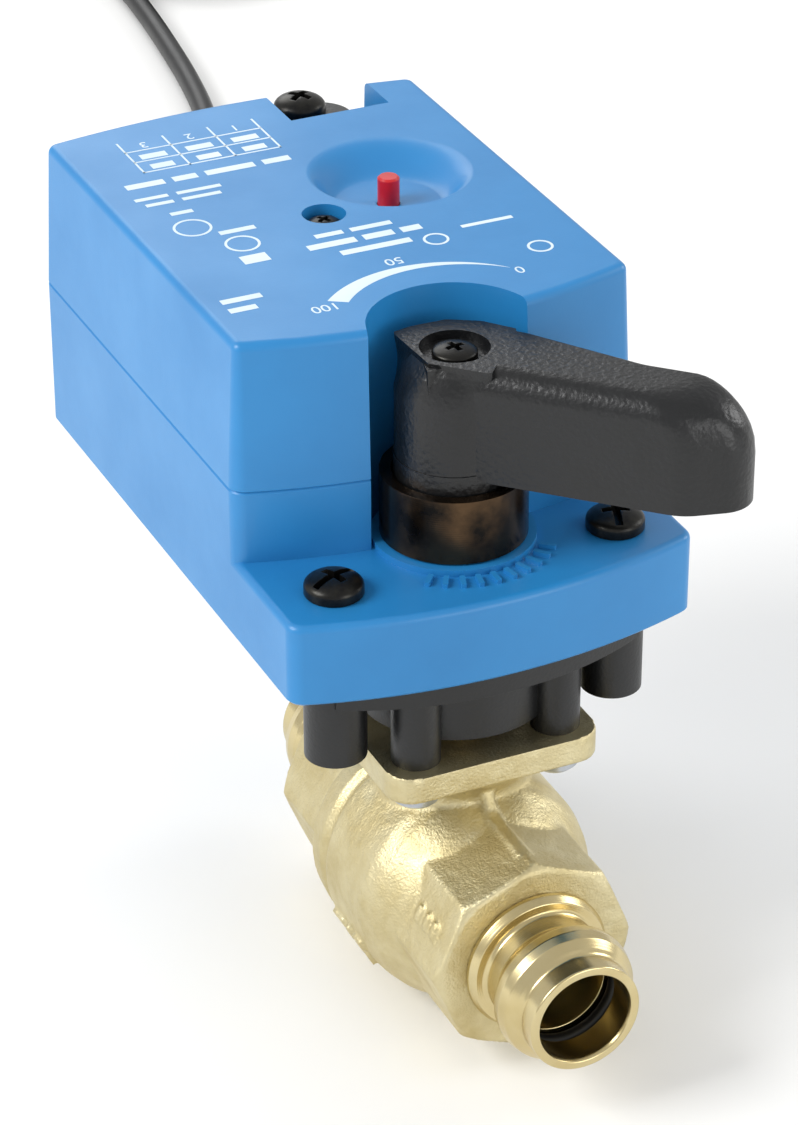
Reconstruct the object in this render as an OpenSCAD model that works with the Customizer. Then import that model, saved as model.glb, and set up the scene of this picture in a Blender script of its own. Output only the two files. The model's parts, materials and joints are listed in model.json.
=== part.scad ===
// Quarter-turn motorized valve actuator on a two-way ball valve with press ends.
// Origin: centre of the front press socket's mouth. +Y runs along the pipe into the
// valve, +Z runs up along the stem. The valve is open and the lever points at +X -Y.

/* [Housing] */
// Width of the housing
housing_w = 72; // [72:1:76]
// Height of the whole housing
housing_h = 53.5; // [53.5:0.5:58]
// Height of the front platform above the underside
platform_h = 14.6; // [14.6:0.1:15]
// Height of the parting line above the underside
parting_h = 27.4; // [27.4:0.1:28]
// Wall thickness of the mouldings
wall = 2.2; // [2:0.1:2.4]
// Rear corners behind the stem
rear_y = 92.5; // [92.5:0.5:96]
// Front corners of the tall part behind the stem
body_y = 6.5; // [6:0.5:7]
// Front corners of the platform before the stem
platform_y = 15.9; // [15.5:0.1:16.5]

/* [Valve] */
// Bore of the press sockets, for a 15.9 mm tube
socket_r = 8.05; // [8:0.05:8.1]
// Distance from a socket's mouth to the stem
half_length = 50.5; // [50.5:0.5:52]
// Distance from the pipe's axis to the top of the valve's pad
pad_z = 31.5; // [31.5:0.5:32]
// Radius of the ball
ball_r = 12.5; // [12.5:0.1:12.6]
// Circle that the mounting screws stand on
pad_pcd = 36; // [35.8:0.1:36.2]

/* [Lever] */
// Direction of the open lever, in degrees from +X
lever_angle = -45; // [-50:1:-40]
// Distance from the stem to the lever's tip
lever_length = 49.4; // [45:0.1:50]
// Height of the lever's arm
lever_h = 19.5; // [18:0.5:20]

/* [Gears] */
// Module of the output sector and its pinion
sector_module = 0.8; // [0.79:0.01:0.81]
// Module of the faster gears
fast_module = 0.5; // [0.49:0.01:0.51]
// Pressure angle
pressure = 25; // [24:1:25]

/* [Cable] */
// Outside diameter of the cable
cable_d = 5.5; // [5:0.1:5.5]
// Middle radius of the stored coil's turns
coil_r = 28.5; // [28:0.5:32]

/* [Hidden] */
$fn = 64;
sy = half_length;
under_z = pad_z + 17.7;
platform_z = under_z + platform_h;
parting_z = under_z + parting_h;
top_z = under_z + housing_h;
floor_z = -21;              // lowest point of the valve's barrel
eps = 0.01;

// Plan of the housing
rear_bulge = 3.6;
front_bulge = 6.1;
draft = 1.1;                // inset of the top against the base
edge = 1.3;                 // rounding of the top edge
recess_r = 14.2;            // round bay around the coupler
recess_wall = 1.8;
notch_x = [7.6, 26.4];
notch_y = sy + 82.6;
notch_wall = 2;
dish = [12.3, sy + 52];
dish_r = 9.9;
dish_depth = 3.8;
scoop = [14.6, sy + 56.4];
scoop_r = 14.4;
cover_screw_at = [-2.6, sy + 45.4];
board_post_x = 28.5;
board_post_y = sy + 30;
front_screw_at = [25.2, sy - 8.6];
housing_screw_at = [30.5, sy + 84];
housing_boss_r = 4;
gland_at = [-14, sy + 94.2, under_z + 9];

// Drive train
output_z = under_z + 4.5;
sector_teeth = 54;
first_pinion_teeth = 12;
wheel_teeth = 36;
pinion_teeth = 18;
clutch_teeth = 40;
motor_teeth = 10;
train_angle = 76.7;         // from the stem towards the release button
sector_from = 64;
sector_to = 180;
gear_play = 0.07;           // each flank is cut back by this much at the pitch circle
first_distance = sector_module * (sector_teeth + first_pinion_teeth) / 2;
wheel_distance = fast_module * (wheel_teeth + pinion_teeth) / 2;
motor_distance = fast_module * (clutch_teeth + motor_teeth) / 2;
motor_angle = 136;
stem_at = [0, sy];
wheel_1_at = polar(stem_at, first_distance, train_angle);
wheel_2_at = polar(wheel_1_at, wheel_distance, train_angle);
button_at = polar(wheel_2_at, wheel_distance, train_angle);
pinion_at = polar(button_at, motor_distance, motor_angle);
motor_at = [-5, sy + 67.5];
motor_r = 16;
plate_z = under_z + 16;
plate_t = 1.5;
axle_r = 1;
running = 0.04;             // radial clearance of every turning fit
shaft_r = 1.4;
board_z = under_z + 30;
board_t = 1.6;
button_travel = 2.2;
button_r = 1.9;
collar_z = top_z - dish_depth - wall - 1.7;   // underside of the button's collar
shaft_top = collar_z - 6;
shaft_bottom = under_z + 1.05 + button_travel;
spring_turns = 7;
spring_wire_r = 0.3;
plate_posts = [[-22, sy + 24], [27, sy + 22], [-23.3, sy + 64.5], [27.5, sy + 70]];
motor_ears = [60, 180, 240];
gearhead_h = 8.3;
sector_t = 5;
wheel_1_angle = mesh_angle(0, sector_teeth, first_pinion_teeth, train_angle);
wheel_2_angle = mesh_angle(wheel_1_angle, wheel_teeth, pinion_teeth, train_angle);
clutch_angle = mesh_angle(wheel_2_angle, wheel_teeth, pinion_teeth, train_angle);
motor_pinion_angle = mesh_angle(clutch_angle, clutch_teeth, motor_teeth, motor_angle);
board = [-31, sy + 18.4, 62, 23.9];
header = [-25, sy + 35.6];
wire_r = 0.65;

// Output coupler and lever
hub_bottom = under_z - 3.2;
hub_flange_z = platform_z + 1.2;
cup_z = parting_z - 3.4;
bush_r = 10.4;
bush_t = 2.4;
lever_z = top_z - 4.3;
lever_bottom = lever_z - lever_h;
arm_front = -7.3;           // flat front face, measured across the lever
arm_rear = 5.2;
hub_outer_r = 9.7;

// Valve
octagon_r = 18.2;
face_y = 18.5;              // front face of the octagon
barrel_r = 21;
chamber_r = 13.4;
cap_y = 64;                 // face between body and end cap
port_r = 7.5;
stem_r = 5;
stem_bore_r = 5.05;
coupler_r = 12.2;
hub_r = 8.5;
square = 9;
stem_top = platform_z - 1;
stem_groove_z = [18.4, 23.4];
pad_screws = [for (a = [45 : 90 : 315]) polar(stem_at, pad_pcd / 2, a)];

// Bracket
bracket_t = 4;
bracket_z = under_z - bracket_t;
bracket_front_y = sy - 20.6;
skirt_r = 16.5;
skirt_in_r = 13.2;
skirt_z = pad_z + 3.1;
post_x = [15.4, 19];
post_y = sy + 97;
post_r = 6.2;
post_top = top_z - 7;

// Cable
cable_z = floor_z + cable_d / 2;
coil_at = [140.3, 506];
coil_start = [coil_at[0] - coil_r - cable_d / 2, coil_at[1]];
exit_y = gland_at[1] + 1.6;
relief_length = 24;
coil_turns_wide = 2;
coil_turns_high = 2;
lead_length = 38;
cable_route = [
    [-14, exit_y + relief_length, 58.2], [-13.7, 176, 57.5], [-12.4, 182.5, 55.8], [-9.8, 189.5, 52.6],
    [-6, 196.5, 47.8], [-1.2, 203, 41.6], [4.2, 209, 34.2], [9.6, 214.8, 25.8], [14.4, 220.6, 16.8],
    [18.2, 227, 7.8], [21.4, 234.5, -0.8], [24.6, 243.5, -8.4], [28.2, 254, -14], [32.6, 265.5, -17.2],
    [38.4, 278, cable_z], [46, 292, cable_z], [55, 308, cable_z], [65, 325, cable_z],
    [75, 343, cable_z], [84, 361, cable_z], [91.4, 380, cable_z], [97, 400, cable_z],
    [101, 420, cable_z], [104.2, 441, cable_z], [107, 463, cable_z], [108.8, 484, cable_z], [coil_start[0], coil_start[1] - 2, cable_z]
];

// ---------------------------------------------------------------- helpers

function polar(at, r, angle) = [at[0] + r * cos(angle), at[1] + r * sin(angle)];
function inv(angle) = tan(angle) * 180 / PI - angle;

// Half of a tooth's width, in degrees, at radius r
function half_tooth(r, z, m) =
    let (rp = m * z / 2, rb = rp * cos(pressure))
    90 / z - gear_play / rp * 180 / PI + inv(pressure) - inv(acos(rb / max(r, rb)));

// Angle of a driven gear's first tooth, so that it meshes with its driver
function mesh_angle(from_angle, from_z, to_z, line) =
    line + 180 - (360 / to_z) * (0.5 - (line - from_angle) * from_z / 360);

// Involute spur gear, with its first tooth at angle first
module gear_2d(z, m, first = 0) {
    rp = m * z / 2;
    radii = [rp - 1.15 * m, max(rp * cos(pressure), rp - 0.6 * m), rp, rp + 0.85 * m];
    polygon([for (i = [0 : z - 1]) for (k = [-4 : 3])
        let (r = k < 0 ? radii[k + 4] : radii[3 - k],
             a = first + i * 360 / z + (k < 0 ? -1 : 1) * half_tooth(r, z, m))
        [r * cos(a), r * sin(a)]]);
}

module gear(z, m, h, first = 0) {
    linear_extrude(h) gear_2d(z, m, first);
}

module at_xy(p, z = 0) {
    translate([p[0], p[1], z]) children();
}

// Solid of revolution about the pipe's axis; points are [radius, y]
module turned(points) {
    rotate([-90, 0, 0]) rotate_extrude() polygon([for (p = points) [p[0], p[1]]]);
}

module tube_z(r_out, r_in, h) {
    difference() {
        cylinder(r = r_out, h = h);
        translate([0, 0, -eps]) cylinder(r = r_in, h = h + 2 * eps);
    }
}

module rounded_rect(w, d, r) {
    square([w - 2 * r, d], center = true);
    square([w, d - 2 * r], center = true);
    for (x = [-1, 1]) for (y = [-1, 1])
        translate([x * (w / 2 - r), y * (d / 2 - r)]) circle(r = r);
}

// Pan head with a rounded top and a cross slot; the head's underside is at z = 0
module pan_screw(head_r, head_h, shank_r, length) {
    difference() {
        union() {
            cylinder(r = head_r, h = head_h * 0.75);
            translate([0, 0, head_h * 0.75]) cylinder(r1 = head_r, r2 = head_r * 0.8, h = head_h * 0.25);
            translate([0, 0, -length]) cylinder(r = shank_r, h = length + eps);
        }
        for (turn = [0, 90]) rotate(turn) translate([0, 0, head_h])
            cube([head_r * 1.15, head_r * 0.22, head_h * 0.9], center = true);
    }
}

// Tube of radius r swept along points, with flat ends across its first and last stretches
function unit(v) = v / norm(v);
function along(p, i) = unit(p[min(i + 1, len(p) - 1)] - p[max(i - 1, 0)]);
function side(t) = unit(cross(t, [0, 0, 1]));
module swept(points, r, sides = 10) {
    rings = [for (i = [0 : len(points) - 1])
        let (t = along(points, i), s = side(t), u = cross(s, t))
        for (k = [0 : sides - 1]) points[i] + r * (s * cos(360 * k / sides) + u * sin(360 * k / sides))];
    last = len(points) - 1;
    polyhedron(rings, concat(
        [[for (k = [0 : sides - 1]) k]],
        [for (i = [0 : last - 1]) for (k = [0 : sides - 1])
            [i * sides + k, (i + 1) * sides + k, (i + 1) * sides + (k + 1) % sides, i * sides + (k + 1) % sides]],
        [[for (k = [sides - 1 : -1 : 0]) last * sides + k]]));
}

// Smooth curve through hand-set points
function spline_point(a, b, c, d, t) =
    0.5 * (2 * b + (c - a) * t + (2 * a - 5 * b + 4 * c - d) * t * t + (3 * b - a - 3 * c + d) * t * t * t);
function smooth(p, n) = [for (i = [0 : len(p) - 2]) for (k = [0 : n - 1])
    spline_point(p[max(i - 1, 0)], p[i], p[i + 1], p[min(i + 2, len(p) - 1)], k / n), p[len(p) - 1]];

// ---------------------------------------------------------------- housing

// Plan between a front corner line and the rear, both bowed outwards, shrunk by inset
module plan(front_y, inset = 0) {
    half = housing_w / 2;
    front_r = (half * half + front_bulge * front_bulge) / (2 * front_bulge);
    rear_r = (half * half + rear_bulge * rear_bulge) / (2 * rear_bulge);
    round_r = 3 - min(inset, 1.5);
    offset(r = round_r, $fn = 24) offset(delta = -round_r - inset) intersection() {
        translate([-half, front_y - front_bulge]) square([housing_w, rear_y + rear_bulge + sy - front_y + front_bulge]);
        translate([0, front_y - front_bulge + front_r]) circle(r = front_r, $fn = 200);
        translate([0, sy + rear_y + rear_bulge - rear_r]) circle(r = rear_r, $fn = 240);
    }
}

module body_plan(inset = 0) {
    plan(sy + body_y, inset);
}

module platform_plan(inset = 0) {
    plan(sy - platform_y, inset);
}

module notch_space(grow = 0) {
    translate([notch_x[0] - grow, notch_y - grow, under_z - 1])
        cube([notch_x[1] - notch_x[0] + 2 * grow, 30, housing_h + 2]);
}

module lower_housing() {
    color("#2c78c0") difference() {
        union() {
            difference() {
                union() {
                    translate([0, 0, under_z]) linear_extrude(platform_h) platform_plan();
                    translate([0, 0, under_z]) linear_extrude(parting_h) body_plan();
                }
                difference() {
                    union() {
                        translate([0, 0, under_z + wall]) linear_extrude(platform_h - 2 * wall) platform_plan(wall);
                        translate([0, 0, under_z + wall]) linear_extrude(parting_h) body_plan(wall);
                    }
                    at_xy(stem_at, platform_z - wall) cylinder(r = recess_r + recess_wall, h = parting_h);
                    notch_space(notch_wall);
                }
            }
            // bosses for the front screws, the board, the cover screw and the housing screws
            for (x = [-1, 1]) {
                translate([x * front_screw_at[0], front_screw_at[1], under_z]) cylinder(r = 3.2, h = platform_h - eps);
                translate([x * board_post_x, board_post_y, under_z]) cylinder(r = 2.6, h = board_z - under_z);
                translate([x * housing_screw_at[0], housing_screw_at[1], under_z])
                    cylinder(r = housing_boss_r, h = parting_h);
            }
            at_xy(cover_screw_at, under_z) cylinder(r = 2.9, h = top_z - 7 - under_z);
            // posts under the gear plate
            for (p = plate_posts) at_xy(p, under_z) cylinder(r = 2.4, h = plate_z - under_z);
            // seats of the axles and the release shaft
            for (p = [wheel_1_at, wheel_2_at]) at_xy(p, under_z) cylinder(r = 3, h = 3.2);
            at_xy(button_at, under_z) cylinder(r = 3, h = 4.4);
            // collar of the lower bush
            at_xy(stem_at, under_z) cylinder(r = 12.5, h = 3.4);
            // raised ring and graduation around the coupler
            at_xy(stem_at, platform_z - eps) cylinder(r = 13.6, h = 1.2);
            for (i = [0 : 9]) at_xy(stem_at, platform_z - eps) rotate(230 + i * 10)
                translate([14.4, -0.35, 0]) cube([2.4, 0.7, 0.5]);
        }
        // bay above the platform
        at_xy(stem_at, platform_z + 1.2 - eps) cylinder(r = recess_r, h = parting_h);
        notch_space();
        // hub passage, with seats for the bushes
        at_xy(stem_at, under_z - 1) cylinder(r = hub_r + 0.4, h = 40);
        at_xy(stem_at, under_z + 1) cylinder(r = bush_r, h = 3);
        at_xy(stem_at, platform_z - 1.4) cylinder(r = bush_r, h = 3);
        for (x = [-1, 1]) {
            translate([x * front_screw_at[0], front_screw_at[1], under_z - 1]) cylinder(r = 2.1, h = 40);
            translate([x * board_post_x, board_post_y, board_z - 8]) cylinder(r = 0.9, h = 9);
            translate([x * housing_screw_at[0], housing_screw_at[1], under_z - 1]) cylinder(r = 1.6, h = 40);
            translate([x * housing_screw_at[0], housing_screw_at[1], under_z - 1]) cylinder(r = 3, h = 3);
        }
        at_xy(cover_screw_at, top_z - 19) cylinder(r = 1.2, h = 13);
        for (p = plate_posts) at_xy(p, plate_z - 7) cylinder(r = 0.95, h = 8);
        for (p = [wheel_1_at, wheel_2_at]) at_xy(p, under_z + 0.8) cylinder(r = axle_r, h = 3);
        at_xy(button_at, under_z + 1) cylinder(r = shaft_r + running, h = 5);
        // cable hole in the rear wall
        translate(gland_at) rotate([-90, 0, 0]) translate([0, 0, -6]) cylinder(r = 4.2, h = 12);
    }
}

module upper_shell(inset, below = 0) {
    hull() {
        translate([0, 0, parting_z - below]) linear_extrude(0.1) body_plan(inset);
        translate([0, 0, top_z - edge - inset]) linear_extrude(0.1) body_plan(inset + draft);
        translate([0, 0, top_z - inset - 0.1]) linear_extrude(0.1) body_plan(inset + draft + edge);
    }
}

module upper_housing() {
    color("#3a97d5") difference() {
        union() {
            difference() {
                upper_shell(0);
                difference() {
                    upper_shell(wall, 1);
                    at_xy(stem_at, parting_z - 2) cylinder(r = recess_r + recess_wall, h = housing_h);
                    notch_space(notch_wall);
                    hull() {
                        at_xy(scoop, top_z - wall - 0.4) cylinder(r = scoop_r + 0.6, h = 3, $fn = 32);
                        at_xy(dish, top_z - dish_depth - wall) cylinder(r = dish_r + 1, h = 1, $fn = 32);
                    }
                    at_xy(cover_screw_at, top_z - 7) cylinder(r = 5, h = 10);
                }
            }
            for (x = [-1, 1]) translate([x * housing_screw_at[0], housing_screw_at[1], parting_z])
                cylinder(r = housing_boss_r, h = 16);
        }
        at_xy(stem_at, parting_z - 1) cylinder(r = recess_r, h = housing_h);
        notch_space();
        at_xy(dish, top_z - dish_depth) cylinder(r = dish_r - 0.6, h = 10);
        hull() {
            at_xy(scoop, top_z) cylinder(r = scoop_r, h = 1, $fn = 48);
            at_xy(dish, top_z - dish_depth) cylinder(r = dish_r - 1.4, h = 1, $fn = 48);
        }
        at_xy(button_at, top_z - 12) cylinder(r = 2.05, h = 20);
        at_xy(cover_screw_at, top_z - 4.2) cylinder(r = 3.75, h = 6);
        at_xy(cover_screw_at, top_z - 8) cylinder(r = 1.7, h = 8);
        for (x = [-1, 1]) translate([x * housing_screw_at[0], housing_screw_at[1], parting_z - 1]) cylinder(r = 1.15, h = 13);
    }
}

module cover_screw() {
    color("#3a3632") at_xy(cover_screw_at, top_z - 4.2) pan_screw(3, 2, 1.2, 12);
}

module housing_screws() {
    color("#2a2a2c") for (x = [-1, 1])
        translate([x * housing_screw_at[0], housing_screw_at[1], under_z + 2]) mirror([0, 0, 1]) pan_screw(2.7, 1.8, 1.15, 34);
}

module front_screws() {
    color("#242426") for (x = [-1, 1])
        translate([x * front_screw_at[0], front_screw_at[1], platform_z]) pan_screw(4.9, 4.2, 1.9, 26);
}

// ---------------------------------------------------------------- drive

module gear_plate() {
    color("#b8bbbf") difference() {
        translate([0, 0, plate_z]) linear_extrude(plate_t) difference() {
            translate([-25.4, sy + 19.5]) square([56, 64.5]);
            translate([notch_x[0] - notch_wall - 0.6, notch_y - notch_wall - 0.6]) square([40, 30]);
            for (p = plate_posts) translate(p) circle(r = 1.3);
            for (p = [wheel_1_at, wheel_2_at]) translate(p) circle(r = axle_r);
            translate(button_at) circle(r = shaft_r + 0.3);
            translate(pinion_at) circle(r = 2.4);
            translate(cover_screw_at) circle(r = 3.3);
            translate([board_post_x, board_post_y]) circle(r = 2.9);
            for (a = motor_ears) translate(polar(motor_at, motor_r - 3, a)) circle(r = 1);
        }
    }
}

module plate_screws() {
    color("#c9ccd0") for (p = plate_posts) at_xy(p, plate_z + plate_t) pan_screw(2.3, 1.5, 0.95, 7);
}

module gear_axles() {
    color("#d5d7da") for (p = [wheel_1_at, wheel_2_at])
        at_xy(p, under_z + 0.8) cylinder(r = axle_r, h = plate_z + plate_t - under_z - 0.8);
}

module bush() {
    difference() {
        cylinder(r = bush_r, h = bush_t);
        translate([0, 0, -1]) cylinder(r = hub_r + running, h = bush_t + 2);
    }
}

module lower_bush() {
    color("#b08d57") at_xy(stem_at, under_z + 1) bush();
}

module upper_bush() {
    color("#b08d57") at_xy(stem_at, platform_z - 1.4) bush();
}

module output_coupler() {
    color("#6f6250") at_xy(stem_at) difference() {
        union() {
            translate([0, 0, hub_bottom]) cylinder(r = hub_r, h = hub_flange_z - hub_bottom + 1);
            translate([0, 0, hub_flange_z + 0.3]) cylinder(r = coupler_r, h = parting_z - hub_flange_z - 0.3);
        }
        translate([0, 0, cup_z]) cylinder(r = 10.2, h = 10);
        translate([0, 0, hub_bottom - 1]) linear_extrude(cup_z - 6 - hub_bottom + 1)
            square([square + 0.1, square + 0.1], center = true);
        translate([0, 0, cup_z - 10]) cylinder(r = 2.6, h = 20);
        // groove for the clip under the lower bush
        translate([0, 0, under_z - 1.6]) difference() {
            cylinder(r = hub_r + 1, h = 0.9);
            translate([0, 0, -1]) cylinder(r = hub_r - 0.8, h = 3);
        }
        // drive flats for the lever
        for (k = [0 : 5]) rotate(k * 60) translate([9.2, -1, cup_z - 1.6]) cube([2, 2, 3]);
    }
}

module coupler_clip() {
    color("#3a3a3c") at_xy(stem_at, under_z - 1.55) difference() {
        cylinder(r = hub_r + 1.4, h = 0.8);
        translate([0, 0, -1]) cylinder(r = hub_r - 0.75, h = 3);
        translate([0, -3, -1]) cube([20, 6, 3]);
    }
}

module sector_gear() {
    color("#e6e2d4") at_xy(stem_at, output_z) linear_extrude(sector_t) difference() {
        union() {
            intersection() {
                gear_2d(sector_teeth, sector_module);
                polygon([[0, 0], for (a = [sector_from : (sector_to - sector_from) / 8 : sector_to]) polar([0, 0], 40, a)]);
            }
            circle(r = 12.4);
        }
        circle(r = hub_r);
    }
}

// A wheel and its pinion on one bore. Heights are above the housing's underside.
module compound(wheel, wheel_z, wheel_h, pinion, m, pinion_z, pinion_h, phase, bore) {
    low = min(wheel_z, pinion_z);
    high = max(wheel_z + wheel_h, pinion_z + pinion_h);
    difference() {
        union() {
            translate([0, 0, under_z + wheel_z]) gear(wheel, fast_module, wheel_h, phase);
            translate([0, 0, under_z + pinion_z]) gear(pinion, m, pinion_h, phase);
            translate([0, 0, under_z + low]) cylinder(r = bore + 0.9, h = high - low);
        }
        translate([0, 0, under_z]) cylinder(r = bore + running, h = 30);
    }
}

module wheel_1() {
    color("#efe9da") at_xy(wheel_1_at)
        compound(wheel_teeth, 10.5, 1.6, first_pinion_teeth, sector_module, 4, 6.51, wheel_1_angle, axle_r);
}

module wheel_2() {
    color("#efe9da") at_xy(wheel_2_at)
        compound(wheel_teeth, 13.2, 1.6, pinion_teeth, fast_module, 9.8, 3.41, wheel_2_angle, axle_r);
}

module clutch_wheel() {
    color("#d9b46a") at_xy(button_at)
        compound(clutch_teeth, 7.6, 1.6, pinion_teeth, fast_module, 9.19, 5.81, clutch_angle, shaft_r);
}

module motor_pinion() {
    color("#c8a65a") at_xy(pinion_at) {
        translate([0, 0, under_z + 3]) gear(motor_teeth, fast_module, 8, motor_pinion_angle);
        translate([0, 0, under_z + 11 - eps]) cylinder(r = 1.2, h = 12);
    }
}

module release_button() {
    color("#d3222a") at_xy(button_at) {
        translate([0, 0, shaft_top]) cylinder(r = button_r, h = top_z + 0.9 - shaft_top);
        translate([0, 0, top_z + 0.9 - eps]) cylinder(r1 = button_r, r2 = button_r - 0.35, h = 0.35);
        translate([0, 0, collar_z]) cylinder(r = 3.4, h = 1.6);
    }
}

module release_shaft() {
    color("#cfd2d6") at_xy(button_at, shaft_bottom) cylinder(r = shaft_r, h = shaft_top - shaft_bottom);
}

module shaft_clip() {
    color("#55575a") at_xy(button_at) {
        translate([0, 0, under_z + 6.9]) tube_z(3, shaft_r, 0.6);
        translate([0, 0, under_z + 15.1]) tube_z(2.5, shaft_r, 0.6);
    }
}

module button_spring() {
    steps = 14;
    low = plate_z + plate_t + spring_wire_r + 0.05;
    rise = collar_z - spring_wire_r - 0.05 - low;
    color("#b9bcc0") at_xy(button_at, low) swept([
        for (i = [0 : spring_turns * steps]) let (a = 360 * i / steps)
            [2.35 * cos(a), 2.35 * sin(a), rise * i / (spring_turns * steps)]
    ], spring_wire_r, 8);
}

module motor_gearhead() {
    color("#a9adb2") difference() {
        at_xy(motor_at, plate_z + plate_t) cylinder(r = motor_r, h = gearhead_h);
        at_xy(pinion_at, plate_z) cylinder(r = 1.2 + running, h = 8);
        for (a = motor_ears) at_xy(polar(motor_at, motor_r - 3, a), plate_z) cylinder(r = 1, h = 5);
    }
}

module motor_can() {
    color("#c3c6ca") at_xy(motor_at, plate_z + plate_t + gearhead_h) {
        cylinder(r = motor_r, h = 16);
        translate([0, 0, 16 - eps]) cylinder(r = 4, h = 1.4);
    }
}

module motor_screws() {
    color("#9fa2a6") for (a = motor_ears) at_xy(polar(motor_at, motor_r - 3, a), plate_z)
        mirror([0, 0, 1]) pan_screw(1.8, 1.1, 1, 5);
}

// ---------------------------------------------------------------- electronics

module circuit_board() {
    color("#1d6b3c") difference() {
        translate([board[0], board[1], board_z]) cube([board[2], board[3], board_t]);
        for (x = [-1, 1]) translate([x * board_post_x, board_post_y, board_z - 1]) cylinder(r = 1.1, h = 4);
    }
}

module capacitor() {
    color("#23252b") translate([6, sy + 30, board_z + board_t]) {
        cylinder(r = 5, h = 11);
        cylinder(r = 5.2, h = 0.8);
    }
}

module board_parts() {
    z = board_z + board_t;
    color("#2b2b2e") {
        translate([-12, sy + 24, z]) cube([9, 6, 1.8]);
        translate([-3, sy + 34, z]) cube([5, 4, 1.4]);
        translate([15, sy + 22, z]) cube([10, 5, 8]);
    }
    color("#b9b2a0") for (i = [0 : 4]) translate([-12 + 3 * i, sy + 20.5, z]) cube([1.2, 2, 0.6]);
    color("#c9ccd0") for (x = [-1, 1]) translate([x * board_post_x, board_post_y, z]) pan_screw(2, 1.3, 0.9, 8);
}

module wire_header() {
    color("#e8e4d8") translate([header[0], header[1], board_z + board_t]) difference() {
        cube([12, 6.5, 7]);
        for (i = [0 : 2]) translate([2.2 + 3.8 * i, 7, 3.2]) rotate([90, 0, 0]) cylinder(r = 0.8, h = 4);
    }
}

module inner_wires() {
    start_z = board_z + board_t + 3.2;
    inner_face = gland_at[1] - 4;
    shades = ["#161616", "#b3201f", "#d8d5cc"];
    for (i = [0 : 2]) color(shades[i]) {
        from_x = header[0] + 2.2 + 3.8 * i;
        rise = 3 * (i - 1);
        swept(smooth([
            [from_x, header[1] + 4.2, start_z], [from_x, header[1] + 9, start_z],
            [-27.4, sy + 60, start_z - 3 + rise], [-27.4, sy + 70, start_z - 10 + rise],
            [-26.6, sy + 79, start_z - 21 + rise], [-19, inner_face - 8, gland_at[2] + rise],
            [gland_at[0], inner_face - 3, gland_at[2] + rise], [gland_at[0], inner_face, gland_at[2] + rise]
        ], 3), wire_r, 8);
    }
}

// ---------------------------------------------------------------- lever

module lever_solid() {
    union() {
        // arm, with a large rounding along its front top edge and over its tip
        hull($fn = 32) {
            translate([4, arm_front, lever_bottom]) cube([34, arm_rear - arm_front, lever_h - 8]);
            translate([4, arm_front + 4.3, lever_z - 4.3]) rotate([0, 90, 0]) cylinder(r = 4.3, h = 33);
            translate([4, arm_rear - 1, lever_z - 1]) rotate([0, 90, 0]) cylinder(r = 1, h = 34);
            translate([lever_length - 9.4, arm_front + 6, lever_bottom]) cylinder(r = 6, h = 9);
            translate([lever_length - 8.2, arm_front + 6.4, lever_z - 10.4]) sphere(r = 5.6);
            translate([lever_length - 5, arm_rear - 5, lever_bottom]) cylinder(r = 5, h = 9);
            translate([lever_length - 8.4, arm_rear - 7, lever_z - 9.4]) sphere(r = 7);
        }
        // shoulder that widens towards the hub
        hull($fn = 32) {
            translate([1, 8, lever_bottom]) cylinder(r = 1, h = lever_h);
            translate([11.4, 7.9, lever_bottom]) cylinder(r = 1, h = lever_h);
            translate([23, 4.4, lever_bottom]) cylinder(r = 1, h = lever_h);
            translate([2, arm_front + 4.3, lever_bottom]) cylinder(r = 4.2, h = lever_h - 4);
            translate([2, arm_front + 5, lever_bottom]) cylinder(r = 4.2, h = lever_h);
        }
        // hub and its pointer
        translate([0, 0, lever_bottom]) cylinder(r = hub_outer_r, h = lever_h);
        translate([0, 0, lever_z - 5.6]) linear_extrude(5.6)
            polygon([[-10, 1], [-9.2, 2.6], [-1, 9.6], [4, 9.2], [2, -7.6], [-3.6, -5]]);
        translate([0, 0, cup_z]) cylinder(r = 9.9, h = lever_bottom - cup_z + 1);
    }
}

module lever() {
    color("#1b1c1e") at_xy(stem_at) difference() {
        rotate(lever_angle) lever_solid();
        translate([0, 0, lever_z - 1.6]) cylinder(r = 5.75, h = 3);
        translate([0, 0, cup_z - 1]) cylinder(r = 2.6, h = 40);
    }
}

module lever_screw() {
    color("#2a2a2c") at_xy(stem_at, lever_z - 1.6) pan_screw(3.7, 1.7, 2.45, 46);
}

// ---------------------------------------------------------------- bracket

module bracket_plan() {
    half = 27.4;
    sag = 6.6;
    r = (half * half + sag * sag) / (2 * sag);
    intersection() {
        translate([-half, bracket_front_y]) square([2 * half, 48]);
        translate([0, bracket_front_y + r]) circle(r = r);
    }
    translate([4, sy + 20]) square([23.4, post_y - sy - 18]);
}

module post_plan(r) {
    for (x = post_x) translate([x, post_y]) circle(r = r);
    translate([post_x[0], post_y - r]) square([post_x[1] - post_x[0], 2 * r]);
}

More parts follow.
